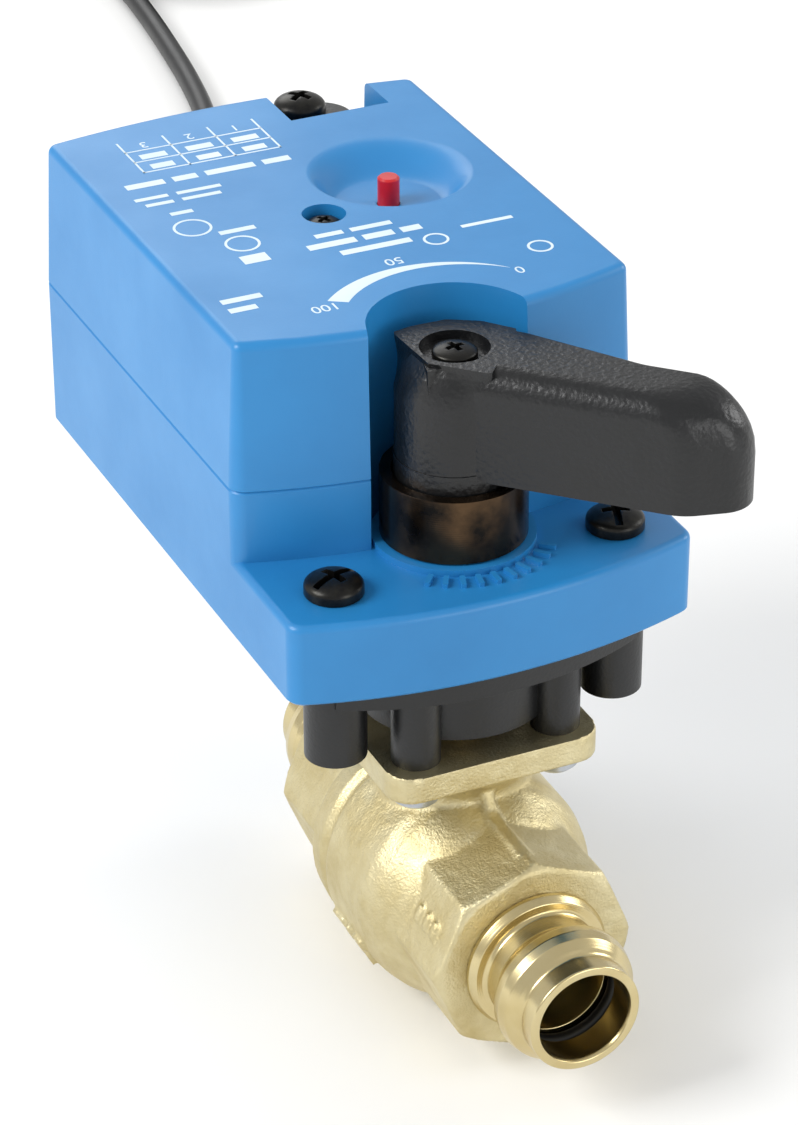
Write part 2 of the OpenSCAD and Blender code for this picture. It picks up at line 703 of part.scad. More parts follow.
module mounting_bracket() {
    color("#1d1e20") difference() {
        union() {
            translate([0, 0, bracket_z]) linear_extrude(bracket_t) bracket_plan();
            at_xy(stem_at, skirt_z) cylinder(r = skirt_r, h = bracket_z - skirt_z + 1);
            for (p = pad_screws) at_xy(p, pad_z) cylinder(r = 4.15, h = bracket_z - pad_z + 1);
            for (x = [-1, 1]) translate([x * front_screw_at[0], front_screw_at[1], pad_z + 2.2])
                cylinder(r = 5.2, h = bracket_z - pad_z - 1);
            translate([0, 0, bracket_z]) linear_extrude(post_top - bracket_z) post_plan(post_r);
        }
        at_xy(stem_at, skirt_z - 1) cylinder(r = skirt_in_r, h = bracket_z - skirt_z + 1);
        at_xy(stem_at, bracket_z - 1) cylinder(r = 10.6, h = bracket_t + 2);
        for (p = pad_screws) at_xy(p, pad_z - 1) cylinder(r = 2.1, h = 13);
        for (x = [-1, 1])
            translate([x * front_screw_at[0], front_screw_at[1], pad_z + 3.4]) cylinder(r = 1.9, h = 40);
        translate([post_x[0], post_y, post_top - 14]) cylinder(r = 1.9, h = 15);
        // hollow of the post, open below
        translate([0, 0, bracket_z - 1]) linear_extrude(post_top - bracket_z - 18) post_plan(post_r - 2);
    }
}

module bracket_screws() {
    color("#8d9095") for (p = pad_screws) at_xy(p, pad_z - 5) mirror([0, 0, 1]) pan_screw(4, 3, 2.1, 16);
}

module rear_washer() {
    color("#2e2e30") translate([post_x[0], post_y, post_top]) tube_z(5.2, 2.1, 0.9);
}

module rear_screw() {
    color("#242426") translate([post_x[0], post_y, post_top + 0.9]) pan_screw(4.7, 4.4, 1.9, 13);
}

// ---------------------------------------------------------------- valve

module octagon(from_y, to_y) {
    translate([0, from_y, 0]) rotate([-90, 0, 0]) cylinder(r = octagon_r, h = to_y - from_y, $fn = 8);
}

module valve_body() {
    color("#c3a15c") difference() {
        union() {
            intersection() {
                octagon(face_y, sy - 13);
                turned([[0, face_y], [17.2, face_y], [19.2, face_y + 2.4], [19.2, sy - 12], [0, sy - 12]]);
            }
            turned([[0, sy - 20], [16.2, sy - 20], [18.6, sy - 16.4], [20.4, sy - 12.4], [barrel_r, sy - 8],
                [barrel_r, sy + 9], [20.2, cap_y], [0, cap_y]]);
            at_xy(stem_at, 8) cylinder(r = 13.2, h = pad_z - 9);
            at_xy(stem_at, pad_z - 8) cylinder(r1 = 13.2, r2 = 16.4, h = 3.2);
            at_xy(stem_at, pad_z - 5) linear_extrude(5) rounded_rect(38, 38, 4);
        }
        // ball chamber, cap thread and ports
        turned([[0, sy - 14.5], [chamber_r, sy - 14.5], [chamber_r, sy + 8], [15, sy + 8], [15, cap_y + 1], [0, cap_y + 1]]);
        turned([[0, face_y - 1], [11.5, face_y - 1], [11.5, face_y + 10.5], [port_r, face_y + 10.5],
            [port_r, sy], [0, sy]]);
        at_xy(stem_at, 5) cylinder(r = stem_bore_r, h = 40);
        at_xy(stem_at, 5) cylinder(r = 6.8, h = 10.7);
        for (p = pad_screws) {
            at_xy(p, pad_z - 6) cylinder(r = 2.4, h = 8);
            at_xy(p, pad_z - 9) cylinder(r = 4.3, h = 4);
        }
    }
}

module end_cap() {
    rear_face = 2 * sy - face_y;
    color("#c3a15c") difference() {
        union() {
            turned([[0, cap_y - 5.4], [14.95, cap_y - 5.4], [14.95, cap_y + 1], [0, cap_y + 1]]);
            intersection() {
                octagon(cap_y, rear_face);
                turned([[0, cap_y], [19.2, cap_y], [19.2, rear_face - 2.4], [17.2, rear_face], [0, rear_face]]);
            }
        }
        turned([[0, cap_y - 7], [chamber_r - 1.4, cap_y - 7], [chamber_r - 1.4, cap_y - 2], [port_r, cap_y - 2],
            [port_r, rear_face - 10.5], [11.5, rear_face - 10.5], [11.5, rear_face + 1], [0, rear_face + 1]]);
        // groove of the cap's seal
        turned([[13.7, cap_y - 3], [16, cap_y - 3], [16, cap_y - 0.8], [13.7, cap_y - 0.8]]);
    }
}

module cap_o_ring() {
    color("#151515") turned([for (a = [0 : 22.5 : 337.5]) [14.3 + 0.55 * cos(a), cap_y - 1.9 + 0.7 * sin(a)]]);
}

module ball() {
    color("#d9dcdf") translate([0, sy, 0]) difference() {
        sphere(r = ball_r);
        rotate([90, 0, 0]) cylinder(r = port_r, h = 40, center = true);
        translate([-1.6, -10, ball_r - 2.6]) cube([3.2, 20, 5]);
    }
}

// Seat ring with a coned lip that faces the ball at distance d before the stem
module seat_ring() {
    turned([[7.7, -11.3], [10.4, -11.3], [11.6, -10.2], [11.6, -8.6], [10.6, -7.4], [8.6, -9.7], [7.7, -10.4]]);
}

module ball_seats() {
    color("#f1efe9") {
        translate([0, sy, 0]) seat_ring();
        translate([0, sy, 0]) mirror([0, 1, 0]) seat_ring();
    }
}

module stem() {
    color("#cdb372") at_xy(stem_at) difference() {
        union() {
            translate([-1.5, -4.6, ball_r - 2.3]) cube([3, 9.2, 3]);
            translate([0, 0, ball_r + 0.4]) cylinder(r = 6.2, h = 2.4);
            translate([0, 0, ball_r + 2]) cylinder(r = stem_r, h = pad_z + 4 - ball_r - 2);
            translate([-square / 2, -square / 2, pad_z + 3.4]) intersection() {
                cube([square, square, stem_top - pad_z - 3.4]);
                translate([square / 2, square / 2, 0]) cylinder(r = 5.9, h = 60);
            }
        }
        for (z = stem_groove_z) translate([0, 0, z]) tube_z(6, 3.6, 2);
        translate([0, 0, stem_top - 14]) cylinder(r = 2.45, h = 16);
    }
}

module stem_o_rings() {
    color("#151515") for (z = stem_groove_z) at_xy(stem_at, z + 1)
        rotate_extrude() translate([4.28, 0]) circle(r = 0.68);
}

module thrust_washer() {
    color("#f1efe9") at_xy(stem_at, ball_r + 2.85) tube_z(6.7, stem_bore_r, 0.34);
}

// Press end on the front of the valve: [radius, y] of its outside, from the thread to the mouth
module press_end() {
    difference() {
        turned([[0, 29], [11.45, 29], [11.45, face_y], [12.7, face_y], [12.7, 17.4], [11.9, 16.2], [10.1, 16.2],
            [9.75, 11.9], [10.6, 11.2], [11.6, 10], [12.1, 8.2], [12.1, 7.2], [11.6, 5.6], [10.4, 4.5],
            [9.75, 3.9], [9.75, 0], [0, 0]]);
        turned([[0, -1], [socket_r, -1], [socket_r, 20], [6.9, 20], [6.9, 30], [0, 30]]);
        // seal groove inside the bead
        turned([[7, 5.9], [10.4, 5.9], [10.7, 6.4], [10.7, 9.1], [10.4, 9.6], [7, 9.6]]);
    }
}

module front_press_end() {
    color("#d2b36d") press_end();
}

module rear_press_end() {
    color("#d2b36d") translate([0, 2 * sy, 0]) mirror([0, 1, 0]) press_end();
}

module press_seal() {
    translate([0, 7.75, 0]) rotate([-90, 0, 0]) rotate_extrude() translate([9.4, 0]) circle(r = 1.3);
}

module press_o_rings() {
    color("#16181b") {
        press_seal();
        translate([0, 2 * sy, 0]) mirror([0, 1, 0]) press_seal();
    }
}

// ---------------------------------------------------------------- cable

module cable_gland() {
    color("#161719") translate(gland_at) rotate([-90, 0, 0]) {
        translate([0, 0, -4]) cylinder(r = 5.2, h = 1.6);
        translate([0, 0, -3]) cylinder(r = 4.2, h = 5.6);
        translate([0, 0, 1.6]) cylinder(r = 5.2, h = 1.8);
        translate([0, 0, 3.2]) cylinder(r1 = 4.6, r2 = 3.3, h = relief_length - 1.6);
    }
}

module cable() {
    color("#1a1b1d") swept(smooth(cable_route, 2), cable_d / 2, 10);
}

module cable_coil() {
    w = coil_turns_wide * cable_d;
    h = coil_turns_high * cable_d;
    color("#1a1b1d") at_xy(coil_at, floor_z) rotate_extrude() translate([coil_r - w / 2, 0]) square([w, h]);
}

module cable_tie() {
    w = coil_turns_wide * cable_d;
    h = coil_turns_high * cable_d;
    color("#e9e9e6") at_xy(coil_at, floor_z) rotate(60) translate([coil_r, 0, h / 2]) difference() {
        cube([w + 2.4, 3, h + 2.4 + 0.6], center = true);
        cube([w + 0.02, 4, h + 0.02], center = true);
        translate([0, 0, -h / 2 - 1.6]) cube([w + 4, 4, 3.2], center = true);
    }
}

module cable_leads() {
    shades = ["#161616", "#b3201f", "#d8d5cc"];
    for (i = [0 : 2]) color(shades[i]) swept(smooth([
        for (k = [0 : 4]) [coil_at[0] + coil_r + 1.5 * cable_d + (i - 1) * (2 + 0.8 * k),
            coil_at[1] - lead_length * k / 4, floor_z + 1]
    ], 2), 0.95, 8);
}

lower_housing();
upper_housing();
cover_screw();
housing_screws();
front_screws();
gear_plate();
plate_screws();
gear_axles();
lower_bush();
upper_bush();
output_coupler();
coupler_clip();
sector_gear();
wheel_1();
wheel_2();
clutch_wheel();
release_button();
release_shaft();
shaft_clip();
button_spring();
motor_gearhead();
motor_can();
motor_screws();
motor_pinion();
circuit_board();
capacitor();
board_parts();
wire_header();
inner_wires();
lever();
lever_screw();
mounting_bracket();
bracket_screws();
rear_washer();
rear_screw();
valve_body();
end_cap();
cap_o_ring();
ball();
ball_seats();
stem();
stem_o_rings();
thrust_washer();
front_press_end();
rear_press_end();
press_o_rings();
cable_gland();
cable();
cable_coil();
cable_tie();
cable_leads();
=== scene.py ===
"""Motorized quarter-turn valve: an electric actuator bracketed on a brass ball valve.

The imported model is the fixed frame. Every piece is built in place around it: sizes are written in
millimetres, turned to metres as each mesh is made, and measured from places that the frame gives.
"""

import json
import logging
import math
from collections.abc import Callable, Sequence
from dataclasses import dataclass
from enum import Enum

import bmesh
import bpy
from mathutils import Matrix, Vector

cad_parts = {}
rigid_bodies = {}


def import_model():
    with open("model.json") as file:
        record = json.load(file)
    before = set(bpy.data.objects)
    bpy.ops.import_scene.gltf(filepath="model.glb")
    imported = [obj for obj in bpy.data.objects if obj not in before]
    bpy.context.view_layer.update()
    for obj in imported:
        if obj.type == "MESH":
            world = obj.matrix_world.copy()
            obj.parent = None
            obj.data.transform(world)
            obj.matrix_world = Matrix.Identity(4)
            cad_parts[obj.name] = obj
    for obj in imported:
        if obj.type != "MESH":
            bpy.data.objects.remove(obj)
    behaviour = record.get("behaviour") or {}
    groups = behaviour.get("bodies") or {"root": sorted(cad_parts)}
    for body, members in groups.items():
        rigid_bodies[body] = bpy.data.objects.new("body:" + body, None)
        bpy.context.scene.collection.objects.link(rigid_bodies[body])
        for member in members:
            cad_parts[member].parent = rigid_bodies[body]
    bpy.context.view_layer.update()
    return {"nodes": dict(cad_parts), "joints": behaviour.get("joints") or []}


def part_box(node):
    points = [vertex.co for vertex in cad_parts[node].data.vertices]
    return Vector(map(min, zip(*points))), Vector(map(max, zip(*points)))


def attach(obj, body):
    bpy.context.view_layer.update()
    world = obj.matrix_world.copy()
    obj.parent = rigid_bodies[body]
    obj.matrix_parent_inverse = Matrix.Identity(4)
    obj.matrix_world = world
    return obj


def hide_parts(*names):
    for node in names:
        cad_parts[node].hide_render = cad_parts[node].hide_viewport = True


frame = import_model()

MM = 0.001
LOG = logging.getLogger("actuator")
Flat = tuple[float, float]
Corner = tuple[float, float, float]


# ---------------------------------------------------------------- places given by the frame


def corner_mm(node: str, end: int) -> Vector:
    """One corner of a CAD node's box in millimetres: end 0 is the lowest, 1 the highest."""
    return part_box(node)[end] / MM


def joint_mm(name: str) -> Vector:
    """The point that a joint turns about, in millimetres."""
    return Vector(next(j["pos_m"] for j in frame["joints"] if j["name"] == name)) / MM


STEM = joint_mm("output_turn")
BUTTON = joint_mm("clutch_spin")
UNDER = corner_mm("lower_housing", 0).z
PARTING = corner_mm("upper_housing", 0).z
TOP = corner_mm("upper_housing", 1).z
HALF_WIDTH = corner_mm("upper_housing", 1).x
FLOOR = corner_mm("cable_coil", 0).z
STEM_XY = (STEM.x, STEM.y)
STEM_FOOT = Vector((STEM.x, STEM.y, 0))
GLAND_REAR, GLAND_FRONT = corner_mm("cable_gland", 1).y, corner_mm("cable_gland", 0).y
GLAND_AXIS = (corner_mm("cable_gland", 0) + corner_mm("cable_gland", 1)) / 2
GLAND_AXIS.y = 0

# doubled points closer than this are one point, and faces that turn less than this are one flat
MERGE_MM = 0.004
FLAT_DEGREES = 0.4


# ---------------------------------------------------------------- colours and shader nodes


def linear(hex_colour: str) -> tuple[float, float, float, float]:
    """Turns an sRGB hex colour into the linear colour that a shader takes.

    Args:
        hex_colour: The colour, as # and six hex digits.

    Returns:
        Red, green, blue and an alpha of 1.
    """
    parts = [int(hex_colour[i : i + 2], 16) / 255 for i in (1, 3, 5)]
    red, green, blue = (c / 12.92 if c <= 0.04045 else ((c + 0.055) / 1.055) ** 2.4 for c in parts)
    return (red, green, blue, 1.0)


def add(tree: bpy.types.NodeTree, kind: str, settings: dict | None = None,
        inputs: dict | None = None) -> bpy.types.Node:
    """Adds one node with its settings and links.

    Args:
        tree: The node tree that takes the node.
        kind: Blender's name for the node's type.
        settings: Property names and their values.
        inputs: Socket names or numbers, each with a value or with the output that feeds it.

    Returns:
        The new node.
    """
    made = tree.nodes.new(kind)
    for name, value in (settings or {}).items():
        setattr(made, name, value)
    for name, value in (inputs or {}).items():
        if isinstance(value, bpy.types.NodeSocket):
            tree.links.new(value, made.inputs[name])
        else:
            made.inputs[name].default_value = value
    return made


def per_metre(size_mm: float) -> float:
    """The texture scale that gives a pattern features of this size, on coordinates in metres."""
    return 1.0 / (size_mm * MM)


class Axis(Enum):
    """The axis that a turned piece was spun about."""

    Y = "Y"
    Z = "Z"


@dataclass(frozen=True)
class Finish:
    """A surface: its base colour and gloss. Each subclass draws the pattern of its own process."""

    name: str
    colour: str
    shade: str
    roughness: float
    metallic: float = 0.0
    coat: float = 0.0
    mottle_mm: float = 14.0

    def material(self) -> bpy.types.Material:
        """Gives the finish's material, built on its first use.

        Returns:
            The material, which every piece with this finish shares.
        """
        known = bpy.data.materials.get(self.name)
        if known:
            return known
        made = bpy.data.materials.new(self.name)
        made.use_nodes = True
        tree = made.node_tree
        shader = tree.nodes["Principled BSDF"]
        shader.inputs["Metallic"].default_value = self.metallic
        shader.inputs["Coat Weight"].default_value = self.coat
        shader.inputs["Coat Roughness"].default_value = 0.12
        place = add(tree, "ShaderNodeTexCoord").outputs["Object"]
        mottle = add(tree, "ShaderNodeTexNoise", inputs={
            "Vector": place, "Scale": per_metre(self.mottle_mm), "Detail": 4.0, "Roughness": 0.6})
        spread = add(tree, "ShaderNodeMapRange", inputs={
            "Value": mottle.outputs["Fac"], "From Min": 0.32, "From Max": 0.68})
        tint = add(tree, "ShaderNodeMix", {"data_type": "RGBA"}, {
            0: spread.outputs["Result"], 6: linear(self.colour), 7: linear(self.shade)})
        tree.links.new(tint.outputs[2], shader.inputs["Base Color"])
        gloss = add(tree, "ShaderNodeMapRange", inputs={
            "Value": mottle.outputs["Fac"], "From Min": 0.3, "From Max": 0.7,
            "To Min": self.roughness * 0.9, "To Max": self.roughness * 1.12})
        tree.links.new(gloss.outputs["Result"], shader.inputs["Roughness"])
        self.relief(tree, shader, place)
        return made

    def relief(self, tree: bpy.types.NodeTree, shader: bpy.types.Node, place: bpy.types.NodeSocket) -> None:
        """Adds the small relief of the process; the plain finish has an even, very fine one."""
        self.bump(tree, shader, self.noise(tree, place, 0.5, 2.0), 0.004)

    def noise(self, tree: bpy.types.NodeTree, place: bpy.types.NodeSocket, size_mm: float,
              detail: float) -> bpy.types.NodeSocket:
        """A noise height with features of a size in millimetres."""
        made = add(tree, "ShaderNodeTexNoise",
                   inputs={"Vector": place, "Scale": per_metre(size_mm), "Detail": detail})
        return made.outputs["Fac"]

    def bump(self, tree: bpy.types.NodeTree, shader: bpy.types.Node, height: bpy.types.NodeSocket,
             deep_mm: float) -> None:
        """Feeds a height, deep_mm from valley to peak, to the shader's normal."""
        made = add(tree, "ShaderNodeBump",
                   inputs={"Height": height, "Distance": deep_mm * MM, "Strength": 1.0})
        tree.links.new(made.outputs["Normal"], shader.inputs["Normal"])


@dataclass(frozen=True)
class Moulded(Finish):
    """Injection-moulded plastic from a spark-eroded mould: a fine pebble of texture_mm."""

    texture_mm: float = 0.45
    depth_mm: float = 0.012

    def relief(self, tree: bpy.types.NodeTree, shader: bpy.types.Node, place: bpy.types.NodeSocket) -> None:
        """Adds the mould's pebble over a slow sink-mark waviness.

        Args:
            tree: The material's node tree.
            shader: The shader whose normal takes the relief.
            place: The coordinates, in metres.
        """
        fine = self.noise(tree, place, self.texture_mm, 3.0)
        wave = self.noise(tree, place, 18.0, 1.0)
        both = add(tree, "ShaderNodeMath", {"operation": "MULTIPLY_ADD"}, {0: wave, 1: 6.0, 2: fine})
        self.bump(tree, shader, both.outputs[0], self.depth_mm)


@dataclass(frozen=True)
class Grained(Finish):
    """Glass-filled nylon with an etched leather grain: cells of grain_mm."""

    grain_mm: float = 0.8
    depth_mm: float = 0.05

    def relief(self, tree: bpy.types.NodeTree, shader: bpy.types.Node, place: bpy.types.NodeSocket) -> None:
        """Adds rounded grain cells that are broken up by a finer noise.

        Args:
            tree: The material's node tree.
            shader: The shader whose normal takes the relief.
            place: The coordinates, in metres.
        """
        cells = add(tree, "ShaderNodeTexVoronoi", {"feature": "SMOOTH_F1"}, {
            "Vector": place, "Scale": per_metre(self.grain_mm), "Smoothness": 0.7})
        fine = self.noise(tree, place, self.grain_mm * 0.6, 3.0)
        both = add(tree, "ShaderNodeMath", {"operation": "MULTIPLY_ADD"},
                   {0: fine, 1: 0.9, 2: cells.outputs["Distance"]})
        self.bump(tree, shader, both.outputs[0], self.depth_mm)


@dataclass(frozen=True)
class Forged(Finish):
    """Blasted, plated or sintered metal: a fine grit over soft lumps, which scatters the light."""

    grit_mm: float = 0.4
    depth_mm: float = 0.045

    def relief(self, tree: bpy.types.NodeTree, shader: bpy.types.Node, place: bpy.types.NodeSocket) -> None:
        """Adds the blasted grit and the lumps of the die's surface.

        Args:
            tree: The material's node tree.
            shader: The shader whose normal takes the relief.
            place: The coordinates, in metres.
        """
        grit = self.noise(tree, place, self.grit_mm, 4.0)
        lump = self.noise(tree, place, self.grit_mm * 5, 2.0)
        both = add(tree, "ShaderNodeMath", {"operation": "MULTIPLY_ADD"}, {0: lump, 1: 1.6, 2: grit})
        self.bump(tree, shader, both.outputs[0], self.depth_mm)


@dataclass(frozen=True)
class Turned(Finish):
    """Lathe-turned metal: tool marks of pitch_mm that run round the spin axis.

    A finishing cut's feed of about 0.1 mm is too fine to show, so the marks are drawn coarser.
    """

    axis: Axis = Axis.Y
    pitch_mm: float = 0.35
    depth_mm: float = 0.0025

    def relief(self, tree: bpy.types.NodeTree, shader: bpy.types.Node, place: bpy.types.NodeSocket) -> None:
        """Adds tool marks along the barrel and across the faces, both about the spin axis.

        Args:
            tree: The material's node tree.
            shader: The shader whose normal takes the relief.
            place: The coordinates, in metres.
        """
        centre = add(tree, "ShaderNodeMapping", inputs={
            "Vector": place, "Location": tuple(-v * MM for v in (STEM if self.axis is Axis.Z else Vector()))})
        # one wave of Blender's texture is 0.314 units long at a scale of 1
        scale = 0.314 * per_metre(self.pitch_mm)
        along = add(tree, "ShaderNodeTexWave", {"wave_type": "BANDS", "bands_direction": self.axis.value}, {
            "Vector": centre.outputs["Vector"], "Scale": scale})
        across = add(tree, "ShaderNodeTexWave", {"wave_type": "RINGS", "rings_direction": self.axis.value}, {
            "Vector": centre.outputs["Vector"], "Scale": scale})
        both = add(tree, "ShaderNodeMath", {"operation": "ADD"},
                   {0: along.outputs["Fac"], 1: across.outputs["Fac"]})
        self.bump(tree, shader, both.outputs[0], self.depth_mm)


# ABS from a spark-eroded mould: broad soft highlights and a barely visible pebble
HOUSING_BLUE = Moulded("moulded ABS blue", "#2480be", "#2179b6", 0.4, coat=0.1, mottle_mm=26)
# glass-filled nylon with an etched grain: deep black with a lively broken highlight
LEVER_BLACK = Grained("grained nylon black", "#0c0d0e", "#121315", 0.33, mottle_mm=9, grain_mm=0.9,
                      depth_mm=0.07)
# glass-filled nylon with a finer grain: black that turns grey where the light grazes it
BRACKET_BLACK = Grained("moulded nylon black", "#0f1011", "#161718", 0.38, mottle_mm=11, grain_mm=0.6,
                        depth_mm=0.03)
# oiled black oxide on steel: near-black metal with a soft shine
BLACK_OXIDE = Forged("black oxide steel", "#34332f", "#1e1e1f", 0.34, metallic=0.85, mottle_mm=3,
                     grit_mm=0.25, depth_mm=0.008)
# bright zinc plating on steel: cool silver with faint cloudy patches
ZINC_STEEL = Forged("zinc plated steel", "#c3c7cb", "#a9adb3", 0.3, metallic=1.0, mottle_mm=6, grit_mm=0.3,
                    depth_mm=0.004)
# drawn steel can: grey with fine lines that stretch the highlight
MOTOR_STEEL = Turned("drawn steel", "#b9bcc0", "#a4a8ad", 0.32, metallic=1.0, axis=Axis.Z, pitch_mm=0.5)
# pressed and sintered bronze: dull, sandy yellow brown
SINTERED_BRONZE = Forged("sintered bronze", "#b08d57", "#8f6f40", 0.5, metallic=1.0, grit_mm=0.2,
                         depth_mm=0.01)
# browned bronze: dark, with warm streaks where the light is caught
COUPLER_BRONZE = Turned("browned bronze", "#564330", "#1c1a18", 0.25, metallic=0.95, mottle_mm=7, axis=Axis.Z,
                        pitch_mm=0.4)
# shot-blasted forging brass: pale gold with a sandy sparkle, its relief drawn deep enough to show
FORGED_BRASS = Forged("forged brass", "#d8cda6", "#c3b486", 0.48, metallic=1.0, mottle_mm=9, grit_mm=0.45,
                      depth_mm=0.13)
# lathe-turned brass: bright pale gold with sharp bands that run round the pipe
TURNED_BRASS = Turned("turned brass", "#d6c79a", "#c8b685", 0.24, metallic=1.0, mottle_mm=12)
# turned brass bar: warmer gold with rings round the stem
STEM_BRASS = Turned("turned brass stem", "#dfc68a", "#cdb275", 0.25, metallic=1.0, axis=Axis.Z)
# hard chrome polished on brass: a cool mirror
CHROMED_BRASS = Turned("chromed brass ball", "#dfe2e5", "#cfd3d7", 0.08, metallic=1.0, depth_mm=0.0004)
# turned PTFE: waxy, slightly warm white
WHITE_PTFE = Moulded("turned PTFE", "#f1efe9", "#e6e3da", 0.5)
# moulded EPDM rubber: soft black with a satin sheen
SEAL_RUBBER = Moulded("moulded EPDM seal", "#111213", "#191a1b", 0.42, texture_mm=0.3)
# natural acetal: ivory with a silky, slippery gloss
GEAR_ACETAL = Moulded("natural acetal", "#ece7d8", "#e0dac8", 0.4)
# hobbed brass: yellow metal with fine cutter lines and a clear highlight
GEAR_BRASS = Turned("cut gear brass", "#cfae62", "#b8964c", 0.28, metallic=1.0, axis=Axis.Z)
# coloured acetal: saturated red with a small clear highlight
BUTTON_RED = Moulded("moulded red acetal", "#c8161f", "#b5121b", 0.3, coat=0.2, mottle_mm=5)
# solder mask on glass-epoxy board: deep green, softly glossy
BOARD_GREEN = Moulded("solder mask green", "#1d6b3c", "#175c33", 0.3, texture_mm=1.2)
# epoxy moulding compound: flat dark grey
PART_BLACK = Moulded("epoxy moulding black", "#1f2125", "#26282d", 0.45)
# natural nylon: creamy white with a soft gloss
HEADER_WHITE = Moulded("moulded nylon natural", "#ece9de", "#dfdbcd", 0.45)
# extruded PVC insulation: smooth and evenly coloured, with a narrow highlight along the wire
WIRE_RED = Moulded("red wire insulation", "#b3201f", "#a01b1a", 0.4)
WIRE_BLACK = Moulded("black wire insulation", "#161616", "#1d1d1d", 0.4)
WIRE_WHITE = Moulded("white wire insulation", "#dcd9d0", "#cfcbc0", 0.4)
# extruded PVC sheath: black and slightly uneven, with a satin line of light along it
CABLE_SHEATH = Moulded("PVC cable sheath", "#0e0f10", "#151617", 0.38, texture_mm=0.6, depth_mm=0.02)
# pad-printing ink: chalky white with a touch of the blue below it
PRINT_WHITE = Moulded("pad print white", "#d8e6ee", "#cbdce6", 0.55, texture_mm=0.3, depth_mm=0.002)
# matt painted board: a pale ground that takes soft shadows
FLOOR_PALE = Moulded("pale studio floor", "#f3f3f2", "#f1f1f0", 0.9, texture_mm=3.0, mottle_mm=400)


# ---------------------------------------------------------------- outlines


def fillet(corners: Sequence[Corner], steps: int = 5) -> list[Flat]:
    """Rounds the corners of a closed outline.

    Args:
        corners: Each corner as (x, y, radius), in order round the outline.
        steps: Stretches in each arc.

    Returns:
        The outline's points, with the same number for every corner.
    """
    made: list[Flat] = []
    for i, (x, y, radius) in enumerate(corners):
        here = Vector((x, y))
        back = Vector(corners[i - 1][:2]) - here
        ahead = Vector(corners[(i + 1) % len(corners)][:2]) - here
        half = back.angle(ahead) / 2
        reach = min(radius / math.tan(half), 0.48 * back.length, 0.48 * ahead.length)
        radius = reach * math.tan(half)
        middle = (back.normalized() + ahead.normalized()).normalized()
        centre = here + middle * (radius / math.sin(half))
        start = here + back.normalized() * reach - centre
        end = here + ahead.normalized() * reach - centre
        turn = start.angle_signed(end) if radius > 1e-6 else 0.0
        for k in range(steps + 1):
            angle = -turn * k / steps
            made.append((centre.x + start.x * math.cos(angle) - start.y * math.sin(angle),
                         centre.y + start.x * math.sin(angle) + start.y * math.cos(angle)))
    return made


def circle(centre: Flat, radius: float, count: int = 96) -> list[Flat]:
    """The points of a circle."""
    return [(centre[0] + radius * math.cos(math.tau * k / count),
             centre[1] + radius * math.sin(math.tau * k / count))
            for k in range(count)]


def circle_of(reach: Sequence[float], z: float, turn: float) -> list[tuple[float, float, float]]:
    """A ring round the stem with its own reach in each direction, from a first turn in degrees."""
    first, step = math.radians(turn), math.tau / len(reach)
    return [(STEM.x + r * math.cos(first + k * step), STEM.y + r * math.sin(first + k * step), z)
            for k, r in enumerate(reach)]


def rectangle(low: Flat, high: Flat) -> list[Flat]:
    """The corners of a rectangle."""
    return [low, (high[0], low[1]), high, (low[0], high[1])]


def box_outline(centre: Flat, width: float, depth: float, radius: float) -> list[Flat]:
    """A rectangle round a centre, with rounded corners."""
    x, y = width / 2, depth / 2
    return fillet([(centre[0] + i * x, centre[1] + j * y, radius)
                   for i, j in ((-1, -1), (1, -1), (1, 1), (-1, 1))])


def smooth_route(points: Sequence[Vector], parts: int) -> list[Vector]:
    """A Catmull-Rom curve through given points, with this many parts between each two.

    Args:
        points: The places that the curve passes through.
        parts: How many parts lie between two places.

    Returns:
        The curve's points, with both ends.
    """
    made: list[Vector] = []
    for i in range(len(points) - 1):
        a, b, c, d = (points[min(max(i + k, 0), len(points) - 1)] for k in (-1, 0, 1, 2))
        for k in range(parts):
            t = k / parts
            made.append(0.5 * (2 * b + (c - a) * t + (2 * a - 5 * b + 4 * c - d) * t**2
                               + (3 * b - a - 3 * c + d) * t**3))
    return made + [points[-1].copy()]


# ---------------------------------------------------------------- meshes


def in_scene(name: str, data: bpy.types.ID) -> bpy.types.Object:
    """Puts new data in the scene as an object.

    Args:
        name: The object's name.
        data: Its mesh, curve, camera or light.

    Returns:
        The new object, at the origin.
    """
    made = bpy.data.objects.new(name, data)
    bpy.context.scene.collection.objects.link(made)
    return made


def opened(piece: bpy.types.Object) -> bmesh.types.BMesh:
    """Opens a piece's mesh, with doubled points merged and split flats made whole.

    Args:
        piece: The piece to edit.

    Returns:
        The editable mesh.
    """
    shape = bmesh.new()
    shape.from_mesh(piece.data)
    bmesh.ops.remove_doubles(shape, verts=shape.verts, dist=MERGE_MM * MM)
    bmesh.ops.dissolve_limit(shape, angle_limit=math.radians(FLAT_DEGREES), verts=shape.verts,
                             edges=shape.edges)
    return shape


def store(shape: bmesh.types.BMesh, mesh: bpy.types.Mesh) -> None:
    """Writes an edited mesh back and lets go of it."""
    shape.to_mesh(mesh)
    shape.free()


